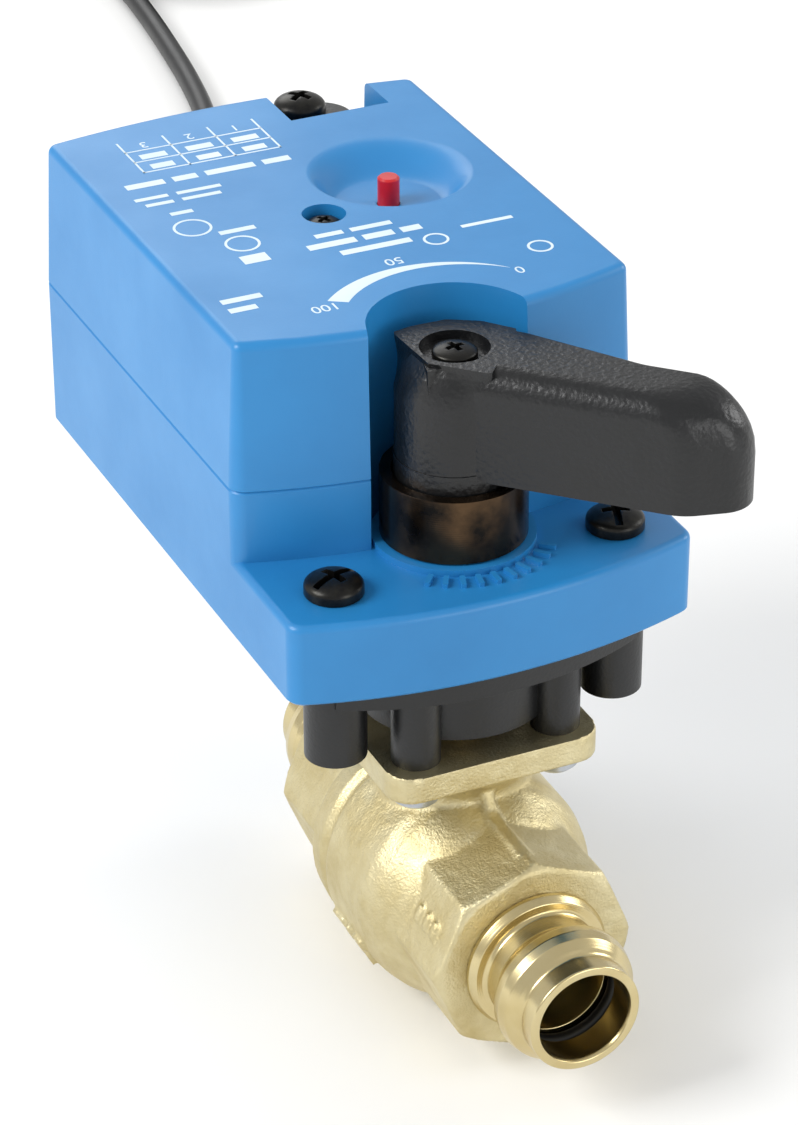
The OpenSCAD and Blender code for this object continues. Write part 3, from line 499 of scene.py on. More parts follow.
def mesh_piece(name: str, points: Sequence[Sequence[float]], faces: Sequence[Sequence[int]],
               finish: Finish | None = None) -> bpy.types.Object:
    """Makes an object from points in millimetres, with its faces turned outwards.

    Args:
        name: The piece's name.
        points: Its vertices, in millimetres in the row's frame.
        faces: Its faces, as indices into the points.
        finish: Its finish, if it isn't a tool that only cuts.

    Returns:
        The new object, at the origin.
    """
    mesh = bpy.data.meshes.new(name)
    mesh.from_pydata([tuple(v * MM for v in p) for p in points], [], faces)
    shape = bmesh.new()
    shape.from_mesh(mesh)
    bmesh.ops.remove_doubles(shape, verts=shape.verts, dist=0.0005 * MM)
    bmesh.ops.recalc_face_normals(shape, faces=shape.faces)
    store(shape, mesh)
    if finish:
        mesh.materials.append(finish.material())
    return in_scene(name, mesh)


def loft(name: str, rings: Sequence[Sequence[Sequence[float]]],
         finish: Finish | None = None) -> bpy.types.Object:
    """Joins rings of equal length into a solid with flat ends.

    Args:
        name: The piece's name.
        rings: The rings, in order, with their points in millimetres.
        finish: Its finish, if it isn't a tool that only cuts.

    Returns:
        The closed solid.
    """
    count = len(rings[0])
    faces: list[list[int]] = [list(range(count)), list(range((len(rings) - 1) * count, len(rings) * count))]
    for i in range(len(rings) - 1):
        for k in range(count):
            after = (k + 1) % count
            faces.append([i * count + k, i * count + after, (i + 1) * count + after, (i + 1) * count + k])
    return mesh_piece(name, [p for ring in rings for p in ring], faces, finish)


def prism(name: str, outline: Sequence[Flat], low: float, high: float,
          finish: Finish | None = None) -> bpy.types.Object:
    """Stands an outline up between two heights."""
    return loft(name, [[(x, y, z) for x, y in outline] for z in (low, high)], finish)


def spin(name: str, profile: Sequence[Flat], axis: Axis, centre: Vector = Vector(),
         finish: Finish | None = None,
         count: int = 96) -> bpy.types.Object:
    """Turns a closed profile of (radius, height) about an axis through centre.

    Args:
        name: The piece's name.
        profile: The closed outline of half the section.
        axis: The axis that it turns about; height runs along it.
        centre: A point on the axis.
        finish: Its finish.
        count: Stretches round the axis.

    Returns:
        The solid of revolution.
    """
    points = []
    for k in range(count):
        cos, sin = math.cos(math.tau * k / count), math.sin(math.tau * k / count)
        for radius, height in profile:
            across, along = radius * cos, radius * sin
            turned = (across, height, along) if axis is Axis.Y else (across, along, height)
            points.append(Vector(turned) + centre)
    size = len(profile)
    faces = [[k * size + i, k * size + (i + 1) % size, (k + 1) % count * size + (i + 1) % size,
              (k + 1) % count * size + i]
             for k in range(count) for i in range(size)
             if profile[i][0] > 0 or profile[(i + 1) % size][0] > 0]
    return mesh_piece(name, points, faces, finish)


def bake(piece: bpy.types.Object) -> bpy.types.Object:
    """Turns a piece and its modifiers into one plain mesh.

    Args:
        piece: The piece, with its modifiers live.

    Returns:
        The same piece, with no modifiers left.
    """
    bpy.context.view_layer.update()
    graph = bpy.context.evaluated_depsgraph_get()
    made = bpy.data.meshes.new_from_object(piece.evaluated_get(graph), preserve_all_data_layers=True,
                                           depsgraph=graph)
    old = piece.data
    piece.modifiers.clear()
    piece.data = made
    if isinstance(old, bpy.types.Mesh):
        bpy.data.meshes.remove(old)
    return piece


def modify(piece: bpy.types.Object, kind: str, **settings: object) -> bpy.types.Object:
    """Adds one modifier with its settings and bakes it.

    Args:
        piece: The piece to change.
        kind: Blender's name for the modifier's type.
        settings: Property names and their values.

    Returns:
        The same piece.
    """
    modifier = piece.modifiers.new(kind.lower(), kind)
    for name, value in settings.items():
        setattr(modifier, name, value)
    return bake(piece)


def combine(piece: bpy.types.Object, tool: bpy.types.Object,
            operation: str = "DIFFERENCE") -> bpy.types.Object:
    """Cuts, joins or intersects a piece with a tool, which is used up.

    Args:
        piece: The piece that stays.
        tool: The shape that works on it.
        operation: Blender's name for cutting, joining or intersecting.

    Returns:
        The same piece.
    """
    modify(piece, "BOOLEAN", operation=operation, object=tool, solver="EXACT")
    bpy.data.objects.remove(tool)
    return piece


def soften(piece: bpy.types.Object, width: float, angle: float = 35.0, segments: int = 3) -> bpy.types.Object:
    """Rounds every edge sharper than an angle and shades the flats as flats.

    Args:
        piece: The piece to finish.
        width: How far each rounding reaches from its edge, in millimetres.
        angle: Smallest angle, in degrees, that counts as an edge.
        segments: Stretches across a rounding.

    Returns:
        The same piece.
    """
    store(opened(piece), piece.data)
    modify(piece, "BEVEL", width=width * MM, segments=segments, limit_method="ANGLE",
           angle_limit=math.radians(angle),
           use_clamp_overlap=True, miter_outer="MITER_ARC")
    return shade(piece, angle)


def shade(piece: bpy.types.Object, angle: float = 35.0) -> bpy.types.Object:
    """Shades a piece smooth, but for edges sharper than an angle, and keeps its flats flat.

    Args:
        piece: The piece to shade.
        angle: Smallest angle, in degrees, that stays a sharp edge.

    Returns:
        The same piece.
    """
    piece.data.polygons.foreach_set("use_smooth", [True] * len(piece.data.polygons))
    piece.data.set_sharp_from_angle(angle=math.radians(angle))
    return modify(piece, "WEIGHTED_NORMAL", keep_sharp=True, weight=90)


def round_edges(piece: bpy.types.Object, width: float, chosen: Callable[[bmesh.types.BMEdge], bool],
                segments: int = 5) -> bpy.types.Object:
    """Rounds only the edges that a test picks.

    Args:
        piece: The piece to change.
        width: How far a rounding reaches, in millimetres.
        chosen: The test that picks an edge.
        segments: Stretches across a rounding.

    Returns:
        The same piece.
    """
    shape = opened(piece)
    edges = [e for e in shape.edges if chosen(e)]
    if edges:
        bmesh.ops.bevel(shape, geom=edges, offset=width * MM, segments=segments, affect="EDGES", profile=0.5,
                        clamp_overlap=True)
    store(shape, piece.data)
    return piece


def copy_of(node: str, name: str, finish: Finish) -> bpy.types.Object:
    """Copies a CAD node as a merged mesh that a detailed piece can start from.

    Args:
        node: The CAD node's name.
        name: The new piece's name.
        finish: Its finish.

    Returns:
        The copy, at the origin.
    """
    mesh = frame["nodes"][node].data.copy()
    mesh.name = name
    mesh.materials.clear()
    mesh.materials.append(finish.material())
    shape = bmesh.new()
    shape.from_mesh(mesh)
    bmesh.ops.remove_doubles(shape, verts=shape.verts, dist=0.003 * MM)
    store(shape, mesh)
    return in_scene(name, mesh)


def joined(name: str, parts: Sequence[bpy.types.Object]) -> bpy.types.Object:
    """Puts several objects' meshes, with their materials, into one piece.

    Args:
        name: The new piece's name.
        parts: The objects, which are used up.

    Returns:
        One piece, with a material for each finish in it.
    """
    shape = bmesh.new()
    finishes: list[bpy.types.Material] = []
    for part in parts:
        first = len(shape.faces)
        shape.from_mesh(part.data)
        shape.faces.ensure_lookup_table()
        if part.data.materials[0] not in finishes:
            finishes.append(part.data.materials[0])
        for face in shape.faces[first:]:
            face.material_index = finishes.index(part.data.materials[0])
        bpy.data.objects.remove(part)
    mesh = bpy.data.meshes.new(name)
    store(shape, mesh)
    for finish in finishes:
        mesh.materials.append(finish)
    return in_scene(name, mesh)


def settle(piece: bpy.types.Object, body: str, stands_for: Sequence[str] = ()) -> bpy.types.Object:
    """Gives a finished piece its body and the CAD nodes that it stands for.

    Args:
        piece: The finished piece.
        body: The CAD body that it moves with.
        stands_for: CAD nodes that it takes the place of.

    Returns:
        The same piece.
    """
    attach(piece, body)
    if stands_for:
        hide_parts(*stands_for)
    triangles = sum(len(p.vertices) - 2 for p in piece.data.polygons) if piece.type == "MESH" else 0
    LOG.info("%s rides on %s, %d triangles", piece.name, body, triangles)
    return piece


# ---------------------------------------------------------------- repeating shapes


class Repeater:
    """A Geometry Nodes tree that sets copies of a piece along a line, each turned a little further."""

    SOCKETS = (("Count", "NodeSocketInt"), ("Start", "NodeSocketVector"), ("Step", "NodeSocketVector"),
               ("First turn", "NodeSocketFloat"), ("Turn step", "NodeSocketFloat"),
               ("Finish", "NodeSocketMaterial"))

    def __init__(self) -> None:
        """Builds the tree once, for every piece that repeats."""
        self.tree = bpy.data.node_groups.new("repeat", "GeometryNodeTree")
        face = self.tree.interface
        face.new_socket("Geometry", in_out="INPUT", socket_type="NodeSocketGeometry")
        self.ids = {name: face.new_socket(name, in_out="INPUT", socket_type=kind).identifier
                    for name, kind in self.SOCKETS}
        face.new_socket("Geometry", in_out="OUTPUT", socket_type="NodeSocketGeometry")
        given = add(self.tree, "NodeGroupInput").outputs
        line = add(self.tree, "GeometryNodeMeshLine", {"mode": "OFFSET"}, {
            "Count": given["Count"], "Start Location": given["Start"], "Offset": given["Step"]})
        turn = add(self.tree, "ShaderNodeMath", {"operation": "MULTIPLY_ADD"}, {
            0: add(self.tree, "GeometryNodeInputIndex").outputs[0], 1: given["Turn step"],
            2: given["First turn"]})
        about_z = add(self.tree, "ShaderNodeCombineXYZ", inputs={"Z": turn.outputs[0]})
        copies = add(self.tree, "GeometryNodeInstanceOnPoints", inputs={
            "Points": line.outputs["Mesh"], "Instance": given["Geometry"], "Rotation": about_z.outputs[0]})
        solid = add(self.tree, "GeometryNodeRealizeInstances",
                    inputs={"Geometry": copies.outputs["Instances"]})
        dressed = add(self.tree, "GeometryNodeSetMaterial", inputs={
            "Geometry": solid.outputs["Geometry"], "Material": given["Finish"]})
        add(self.tree, "NodeGroupOutput", inputs={"Geometry": dressed.outputs["Geometry"]})

    def repeat(self, piece: bpy.types.Object, count: int, start: Sequence[float],
               step: Sequence[float] = (0, 0, 0),
               first_turn: float = 0.0, turn_step: float = 0.0) -> bpy.types.Object:
        """Repeats a piece that was built round the origin.

        Args:
            piece: The piece, whose own material all copies keep.
            count: How many copies there are.
            start: Where the first one stands, in millimetres.
            step: The way from one to the next, in millimetres.
            first_turn: The first one's turn about +Z, in degrees.
            turn_step: How much further each next one is turned, in degrees.

        Returns:
            The same piece, now a plain mesh of all copies.
        """
        modifier = piece.modifiers.new("repeat", "NODES")
        modifier.node_group = self.tree
        values = {"Count": count, "Start": [v * MM for v in start], "Step": [v * MM for v in step],
                  "First turn": math.radians(first_turn), "Turn step": math.radians(turn_step),
                  "Finish": piece.data.materials[0]}
        for name, value in values.items():
            modifier[self.ids[name]] = value
        return bake(piece)


# ---------------------------------------------------------------- camera and studio


@dataclass
class Studio:
    """Camera, pale floor and soft lights."""

    eye: tuple[float, float, float] = (-0.2413, -0.4516, 0.3845)
    heading: float = 24.75
    pitch: float = 30.33
    roll: float = -0.1
    lens: float = 126.0
    lit_point: tuple[float, float, float] = (0.0, 0.07, 0.05)

    def camera(self) -> None:
        """Makes the camera at the viewing angle."""
        data = bpy.data.cameras.new("camera")
        data.lens, data.sensor_width = self.lens, 36.0
        data.clip_start, data.clip_end = 0.01, 20.0
        made = in_scene("camera", data)
        heading, pitch = math.radians(self.heading), math.radians(self.pitch)
        look = Vector((math.sin(heading) * math.cos(pitch), math.cos(heading) * math.cos(pitch),
                       -math.sin(pitch)))
        made.location = self.eye
        turn = look.to_track_quat("-Z", "Y").to_matrix()
        made.rotation_euler = turn.to_euler()
        made.rotation_euler.rotate_axis("Z", math.radians(self.roll))
        bpy.context.scene.camera = made

    def lamp(self, name: str, place: tuple[float, float, float], size: float, watts: float,
             colour: str = "#ffffff") -> None:
        """Makes one soft area light that faces the middle of the object.

        Args:
            name: The lamp's name.
            place: Where it stands, in metres.
            size: Its disc's diameter, in metres.
            watts: Its power.
            colour: Its hex colour.
        """
        data = bpy.data.lights.new(name, "AREA")
        data.shape, data.size, data.energy, data.color = "DISK", size, watts, linear(colour)[:3]
        made = in_scene(name, data)
        made.location = place
        made.rotation_euler = (Vector(self.lit_point) - Vector(place)).to_track_quat("-Z", "Y").to_euler()

    def build(self) -> None:
        """Makes the floor, the lights and the soft surroundings."""
        floor = prism("floor", box_outline((0, 0), 9000, 9000, 10), FLOOR - 4, FLOOR, FLOOR_PALE)
        self.lamp("key", (-1.05, 0.15, 0.85), 0.7, 13.0)
        self.lamp("front", (0.5, -1.3, 0.35), 0.9, 5.5)
        self.lamp("right", (1.2, -0.1, 0.55), 0.6, 4.5)
        self.lamp("back", (0.1, 1.25, 0.75), 0.8, 4.0)
        world = bpy.data.worlds.new("surroundings")
        world.use_nodes = True
        world.node_tree.nodes["Background"].inputs["Color"].default_value = linear("#ffffff")
        world.node_tree.nodes["Background"].inputs["Strength"].default_value = 0.66
        bpy.context.scene.world = world
        bpy.context.scene.view_settings.view_transform = "Standard"


# ---------------------------------------------------------------- cable


@dataclass
class Cable:
    """The free cable: a relief boot, the route, a tied coil and three bare-ended conductors."""

    diameter: float = 5.5
    coil_centre: Flat = (140.3, 506.0)
    coil_radius: float = 28.5
    turns: float = 4.5
    route: tuple[tuple[float, float, float], ...] = (
        (-0.014, 0.1703, 0.0582), (-0.0137, 0.176, 0.0575), (-0.0124, 0.1825, 0.0558),
        (-0.0098, 0.1895, 0.0526), (-0.006, 0.1965, 0.0478), (-0.0012, 0.203, 0.0416),
        (0.0042, 0.209, 0.0342), (0.0096, 0.2148, 0.0258), (0.0144, 0.2206, 0.0168),
        (0.0182, 0.227, 0.0078), (0.0214, 0.2345, -0.0008), (0.0246, 0.2435, -0.0084),
        (0.0282, 0.254, -0.014), (0.0326, 0.2655, -0.0172), (0.0384, 0.278, -0.01825),
        (0.046, 0.292, -0.01825), (0.055, 0.308, -0.01825), (0.065, 0.325, -0.01825),
        (0.075, 0.343, -0.01825), (0.084, 0.361, -0.01825), (0.0914, 0.38, -0.01825),
        (0.097, 0.4, -0.01825), (0.101, 0.42, -0.01825), (0.1042, 0.441, -0.01825),
        (0.107, 0.463, -0.01825), (0.1088, 0.484, -0.01825))

    def coil_point(self, turn: float) -> Vector:
        """Where the cable's middle is after some turns of the coil.

        Args:
            turn: Turns from the coil's start, which is on its -X side.

        Returns:
            The point, in millimetres.
        """
        half = self.diameter / 2

        def eased(start: float, end: float) -> float:
            """A soft step from 0 to 1 between two counts of turns."""
            t = min(max((turn - start) / (end - start), 0.0), 1.0)
            return t * t * (3 - 2 * t)

        # outer turn, inner turn, then the same two on top, and off over the outside
        out = half * (1 - 2 * eased(0.85, 1.0) + 2 * eased(2.85, 3.05))
        up = half + self.diameter * eased(1.88, 2.06)
        over = eased(4.27, 4.48)
        slide = over * math.pi / 2
        out += self.diameter * math.sin(slide) * 1.02
        up = up if over == 0 else half + self.diameter * math.cos(slide)
        angle = math.pi - math.tau * turn
        radius = self.coil_radius + out
        return Vector((self.coil_centre[0] + radius * math.cos(angle),
                       self.coil_centre[1] + radius * math.sin(angle),
                       FLOOR + up))

    def centreline(self) -> list[Vector]:
        """The whole cable's middle line, in metres.

        Returns:
            The points from the exit to the far end.
        """
        laid = smooth_route([Vector(p) for p in self.route] + [self.coil_point(0) * MM], 6)
        steps = round(self.turns * 60)
        return laid + [self.coil_point(k / 60) * MM for k in range(1, steps + 1)]

    def cord_piece(self, points: list[Vector]) -> bpy.types.Object:
        """Makes the sheath as a round curve along the middle line.

        Args:
            points: The middle line, in metres.

        Returns:
            The sheath, still a curve.
        """
        curve = bpy.data.curves.new("cable_sheath", "CURVE")
        curve.dimensions = "3D"
        curve.bevel_depth, curve.bevel_resolution, curve.use_fill_caps = self.diameter / 2 * MM, 6, True
        spline = curve.splines.new("POLY")
        spline.points.add(len(points) - 1)
        for point, place in zip(spline.points, points):
            point.co = (*place, 1.0)
        spline.use_smooth = True
        curve.materials.append(CABLE_SHEATH.material())
        return in_scene("cable_sheath", curve)

    def boot(self) -> bpy.types.Object:
        """Makes the moulded boot: a tapered sleeve with flex rings, and its flange on the wall.

        Returns:
            The boot, round the cable's exit.
        """
        start, end = GLAND_FRONT, GLAND_REAR
        wall = start + 5.6
        profile: list[Flat] = [(0, start), (5.1, start), (5.2, start + 1.6), (4.2, start + 1.6), (4.2, wall),
                               (5.0, wall), (5.2, wall + 0.3), (5.2, wall + 1.5), (4.9, wall + 1.8)]
        rings = 7
        for i in range(rings):
            y = wall + 2.4 + i * (end - wall - 5) / rings
            radius = 4.6 - 1.1 * i / rings
            profile += [(radius, y), (radius, y + 1.5), (radius - 0.75, y + 1.8), (radius - 0.75, y + 2.2)]
        profile += [(3.3, end - 1.6), (3.3, end - 0.3), (3.05, end), (0, end)]
        return shade(spin("cable_boot", profile, Axis.Y, GLAND_AXIS, CABLE_SHEATH, 48), 50)

    def tie(self) -> bpy.types.Object:
        """Makes the tie: a flat strap bent round the coil's section, with its head.

        Returns:
            The closed tie, with its head.
        """
        inner, strap, width = 2 * self.diameter, 1.1, 3.0
        corners = [(-inner / 2, 0.0), (inner / 2, 0.0), (inner / 2, inner), (-inner / 2, inner)]
        outer = [(-inner / 2 - strap, 0.02), (inner / 2 + strap, 0.02), (inner / 2 + strap, inner + strap),
                 (-inner / 2 - strap, inner + strap)]
        angle = math.radians(60)
        along = Vector((math.cos(angle), math.sin(angle), 0))
        across = Vector((-math.sin(angle), math.cos(angle), 0))
        centre = Vector((*self.coil_centre, FLOOR)) + along * self.coil_radius

        def strip(outline: Sequence[Flat], half: float) -> list[list[Vector]]:
            """The two rings of an outline that stands across the coil."""
            return [[centre + along * x + across * side * half + Vector((0, 0, z)) for x, z in outline]
                    for side in (-1, 1)]

        band = loft("cable_tie_strap", strip(fillet([(*p, 2.4) for p in outer]), width / 2), HEADER_WHITE)
        hollow = loft("tie_hollow", strip(fillet([(x, z - 0.5 if z == 0 else z, 1.6) for x, z in corners]),
                                          width))
        combine(band, hollow)
        head = [(-2.6, inner + 0.4), (2.6, inner + 0.4), (2.6, inner + 2.4), (-2.6, inner + 2.4)]
        combine(band, loft("tie_head", strip(fillet([(*p, 0.5) for p in head]), width * 0.8)), "UNION")
        return soften(band, 0.2)

    def leads(self) -> bpy.types.Object:
        """Makes the three conductors that fan out of the sheath's end, stripped at their tips.

        Returns:
            All three conductors, as one piece.
        """
        end = self.coil_point(self.turns)
        length = 37.0
        parts = []
        for i, finish in enumerate((WIRE_BLACK, WIRE_RED, WIRE_WHITE)):
            line = [Vector((end.x + (i - 1) * (1.98 + 3.0 * t), end.y - length * t, FLOOR + 1.05)) for t in
                    (k / 16 for k in range(17))]
            for name, first, last, radius, made_of in (("insulation", 0, 13, 0.95, finish),
                                                       ("copper", 13, 16, 0.5, GEAR_BRASS)):
                rings = [[p + Vector((radius * math.cos(a), 0, radius * math.sin(a) - (0.95 - radius) * 0.9))
                          for a in (math.tau * k / 14 for k in range(14))] for p in line[first : last + 1]]
                parts.append(loft(f"{name}_{i}", rings, made_of))
        return shade(joined("cable_conductors", parts), 50)

    def build(self) -> None:
        points = self.centreline()
        sheath = self.cord_piece(points)
        boot, tie, leads = self.boot(), self.tie(), self.leads()
        settle(sheath, "housing", ["cable", "cable_coil"])
        settle(boot, "housing", ["cable_gland"])
        settle(tie, "housing", ["cable_tie"])
        settle(leads, "housing", ["cable_leads"])


# ---------------------------------------------------------------- housing


@dataclass
class Housing:
    """The two blue mouldings with everything printed and cut on them."""

    repeater: Repeater
    front_bulge: float = 6.1
    rear_bulge: float = 3.6
    rear: float = 92.5
    body_front: float = 6.5
    platform_front: float = -15.9
    platform_h: float = 14.6
    draft: float = 1.1
    edge: float = 1.5
    wall: float = 2.2
    bay_r: float = 14.2
    bay_wall: float = 1.8
    hub_r: float = 12.5
    hub_floor: float = 3.4
    hub_seat_r: float = 10.4
    hub_way_r: float = 8.9
    ring_r: float = 13.6
    cable_way_r: float = 4.3
    notch_low: Flat = (7.6, 82.6)
    notch_high: Flat = (26.4, 130.0)
    dish: Flat = (12.3, 52.0)
    dish_r: float = 9.9
    dish_depth: float = 3.8
    scoop: Flat = (14.6, 56.4)
    scoop_r: float = 14.4
    cover_screw: Flat = (-2.6, 45.4)
    ticks: int = 10

    def at(self, point: Flat) -> Flat:
        """Moves a point measured from the stem into the row's frame."""
        return (point[0], point[1] + STEM.y)

    def plan(self, front: float, inset: float = 0.0) -> list[Flat]:
        """The housing's outline: straight sides between bowed ends, with rounded corners.

        Args:
            front: The front corners' distance behind the stem.
            inset: How far the whole outline is drawn in.

        Returns:
            The outline's points, in the row's frame.
        """
        half = HALF_WIDTH
        corner = max(3.0 - inset, 1.2)
        side = half - inset
        made: list[Flat] = []
        for bulge, flat, sign in ((self.front_bulge, front, -1), (self.rear_bulge, self.rear, 1)):
            radius = (half * half + bulge * bulge) / (2 * bulge)
            centre = flat + sign * (bulge - radius)
            reach = radius - inset - corner
            x = side - corner
            y = centre + sign * math.sqrt(reach * reach - x * x)
            swing = math.atan2(abs(y - centre), x)
            arc = [(x + corner * math.cos(a), y + sign * corner * math.sin(a))
                   for a in (swing * k / 8 for k in range(9))]
            bow = [((radius - inset) * math.cos(a), centre + sign * (radius - inset) * math.sin(a))
                   for a in (swing + (math.pi - 2 * swing) * k / 40 for k in range(1, 40))]
            half_line = arc + bow + [(-px, py) for px, py in reversed(arc)]
            made += half_line if sign > 0 else half_line[::-1]
        return [self.at(p) for p in made]

    def shell(self, name: str, front: float, low: float, high: float, draft: float, inset: float, edge: float,
              joint_low: float = 0.0, joint_high: float = 0.0,
              finish: Finish | None = None) -> bpy.types.Object:
        """Lofts one moulding's outside between two heights, with its draft, top rounding and joint chamfers.

        Args:
            name: The piece's name.
            front: The front corners' distance behind the stem.
            low: Its lower height.
            high: Its upper height.
            draft: How far the walls have leant in at the top.
            inset: How far the whole outline is drawn in.
            edge: The top edge's rounding.
            joint_low: The chamfer on the lower edge.
            joint_high: The chamfer on the upper edge.
            finish: Its finish, if it isn't a tool that only cuts.

        Returns:
            The closed solid.
        """
        levels = [(low, inset + joint_low)]
        if joint_low:
            levels.append((low + joint_low, inset))
        if edge:
            levels += [(high - edge + edge * math.sin(a), inset + draft + edge * (1 - math.cos(a)))
                       for a in (math.pi / 2 * k / 6 for k in range(7))]
        else:
            levels += [(high - joint_high, inset + draft), (high, inset + draft + joint_high)]
        return loft(name, [[(x, y, z) for x, y in self.plan(front, i)] for z, i in levels], finish)

    def notch(self, low: float, high: float, grow: float = 0.0) -> bpy.types.Object:
        """Makes the block that leaves room for the bracket's rear post.

        Args:
            low: Its lower height.
            high: Its upper height.
            grow: How much wider it is, for the wall that is kept round it.

        Returns:
            The block, to cut with.
        """
        near = (self.notch_low[0] - grow, self.notch_low[1] - grow)
        far = (self.notch_high[0] + grow, self.notch_high[1])
        return prism("notch", rectangle(self.at(near), self.at(far)), low, high)

    def dish_tool(self, grow: float = 0.0) -> bpy.types.Object:
        """Makes the finger scoop: it slides from its wide upper rim to the small round floor.

        Args:
            grow: How much larger it is, for the wall that is kept round it.

        Returns:
            The shape, to cut with.
        """
        rings = []
        for k in range(13):
            t = k / 12
            slope = 0.5 - 0.5 * math.cos(math.pi * t)
            mix = t**0.9
            centre = (self.scoop[0] + (self.dish[0] - self.scoop[0]) * mix,
                      self.scoop[1] + (self.dish[1] - self.scoop[1]) * mix)
            radius = self.scoop_r + (self.dish_r - 0.8 - self.scoop_r) * mix + grow
            rings.append([(x, y, TOP - grow - self.dish_depth * slope)
                          for x, y in circle(self.at(centre), radius)])
        lid = [(x, y, TOP + 4) for x, y, _ in rings[0]]
        return loft("scoop_tool", [lid] + rings)

    def upper(self) -> bpy.types.Object:
        """Makes the upper moulding: a hollow cap with the lever's bay, scoop, notch and screw recess.

        Returns:
            The finished moulding.
        """
        cap = self.shell("upper_cover", self.body_front, PARTING, TOP, self.draft, 0.0, self.edge,
                         joint_low=0.3,
                         finish=HOUSING_BLUE)
        hollow = self.shell("hollow", self.body_front, PARTING - 1, TOP - self.wall, self.draft, self.wall,
                            0.0)
        for keep in (prism("keep_bay", circle(STEM_XY, self.bay_r + self.bay_wall), PARTING - 2, TOP),
                     self.notch(PARTING - 2, TOP, 2),
                     self.dish_tool(self.wall),
                     prism("keep_screw", circle(self.at(self.cover_screw), 5, 48), TOP - 7, TOP)):
            combine(hollow, keep)
        combine(cap, hollow)
        combine(cap, prism("bay", circle(STEM_XY, self.bay_r, 128), PARTING - 1, TOP + 1))
        combine(cap, self.notch(PARTING - 1, TOP + 1))
        combine(cap, self.dish_tool())
        combine(cap, prism("button_hole", circle((BUTTON.x, BUTTON.y), 2.05, 40), TOP - 12, TOP + 1))
        combine(cap, prism("screw_recess", circle(self.at(self.cover_screw), 3.75, 48), TOP - 2.9, TOP + 1))
        combine(cap, prism("screw_hole", circle(self.at(self.cover_screw), 1.7, 32), TOP - 8, TOP + 1))
        round_edges(cap, 1.7, self.bay_mouth)
        return soften(cap, 0.45)

    def bay_mouth(self, edge: bmesh.types.BMEdge) -> bool:
        """Whether an edge is one of the two upright corners where the bay opens to the front.

        Args:
            edge: An edge of the moulding.

        Returns:
            True for those two corners.
        """
        a, b = (v.co / MM for v in edge.verts)
        upright = abs(a.z - b.z) > 0.8 and (a - b).xy.length < 1.0
        return upright and all(abs((p.xy - STEM.xy).length - self.bay_r) < 0.3 and p.y < STEM.y + 4
                               for p in (a, b))

    def lower(self) -> bpy.types.Object:
        """Makes the lower moulding: the tall rear part and the platform that reaches under the lever.

        Returns:
            The finished moulding.
        """
        platform = UNDER + self.platform_h
        base = self.shell("lower_cover", self.platform_front, UNDER, platform, 0.0, 0.0, 1.3, joint_low=0.5,
                          finish=HOUSING_BLUE)
        combine(base, self.shell("tall", self.body_front, UNDER + 0.6, PARTING, 0.0, 0.0, 0.0,
                                 joint_high=0.3), "UNION")
        hollow = self.shell("low_hollow", self.platform_front, UNDER + self.wall, platform - self.wall, 0.0,
                            self.wall, 0.0)
        combine(hollow, self.shell("tall_hollow", self.body_front, UNDER + self.wall, PARTING + 1, 0.0,
                                   self.wall, 0.0), "UNION")
        combine(hollow, prism("keep_bay", circle(STEM_XY, self.bay_r + self.bay_wall), platform - self.wall,
                              PARTING + 2))
        combine(hollow, self.notch(UNDER, PARTING + 2, 2))
        combine(hollow, prism("keep_hub", circle(STEM_XY, self.hub_r), UNDER, UNDER + self.hub_floor))
        combine(base, hollow)
        combine(base, prism("bay", circle(STEM_XY, self.bay_r, 128), platform, PARTING + 1))
        combine(base, prism("ring", circle(STEM_XY, self.ring_r, 128), platform - 0.5, platform + 1.2),
                "UNION")
        combine(base, self.notch(UNDER - 1, PARTING + 1))
        combine(base, prism("hub_seat", circle(STEM_XY, self.hub_seat_r), UNDER + 1.0,
                            UNDER + self.hub_floor + 1))
        combine(base, prism("hub_top", circle(STEM_XY, self.hub_seat_r), platform - 1.4, PARTING))
        combine(base, prism("hub_way", circle(STEM_XY, self.hub_way_r), UNDER - 1, PARTING))
        for side in (-1, 1):
            at = self.at((side * 25.2, -8.6))
            combine(base, prism("screw_way", circle(at, 2.1, 32), UNDER - 1, platform + 1))
            corner = self.at((side * 30.5, 84))
            combine(base, prism("deep_screw", circle(corner, 3.0, 32), UNDER - 1, UNDER + 2))
        combine(base, prism("shaft_pocket", circle((BUTTON.x, BUTTON.y), 2.4, 32), UNDER + 0.5, UNDER + 4))
        way = rectangle((0, GLAND_FRONT - 2), (self.cable_way_r, GLAND_FRONT + 14))
        combine(base, spin("cable_way", way, Axis.Y, GLAND_AXIS))
        round_edges(base, 1.7, self.bay_mouth)
        return soften(base, 0.4)

    def graduation(self) -> bpy.types.Object:
        """Makes the raised ticks on the platform round the coupler.

        Returns:
            All ticks, as one piece.
        """
        tick = prism("graduation", box_outline((15.7, 0), 2.9, 0.9, 0.2), -0.2, 0.75, HOUSING_BLUE)
        shade(tick)
        return self.repeater.repeat(tick, self.ticks, (STEM.x, STEM.y, UNDER + self.platform_h),
                                    first_turn=230, turn_step=10)

    def bar(self, name: str, start: Flat, width: float, depth: float, count: int = 1,
            step: Flat = (0, 0)) -> bpy.types.Object:
        """One flat printed bar, or a row of them, with its first corner at start.

        Args:
            name: The piece's name.
            start: The first corner, measured from the stem.
            width: Its size along X.
            depth: Its size along Y.
            count: How many bars there are.
            step: The way from one to the next.

        Returns:
            The bars, as one piece.
        """
        made = prism(name, rectangle((0, 0), (width, depth)), -0.03, 0.04, PRINT_WHITE)
        place = self.at(start)
        return self.repeater.repeat(made, count, (*place, TOP), (*step, 0))

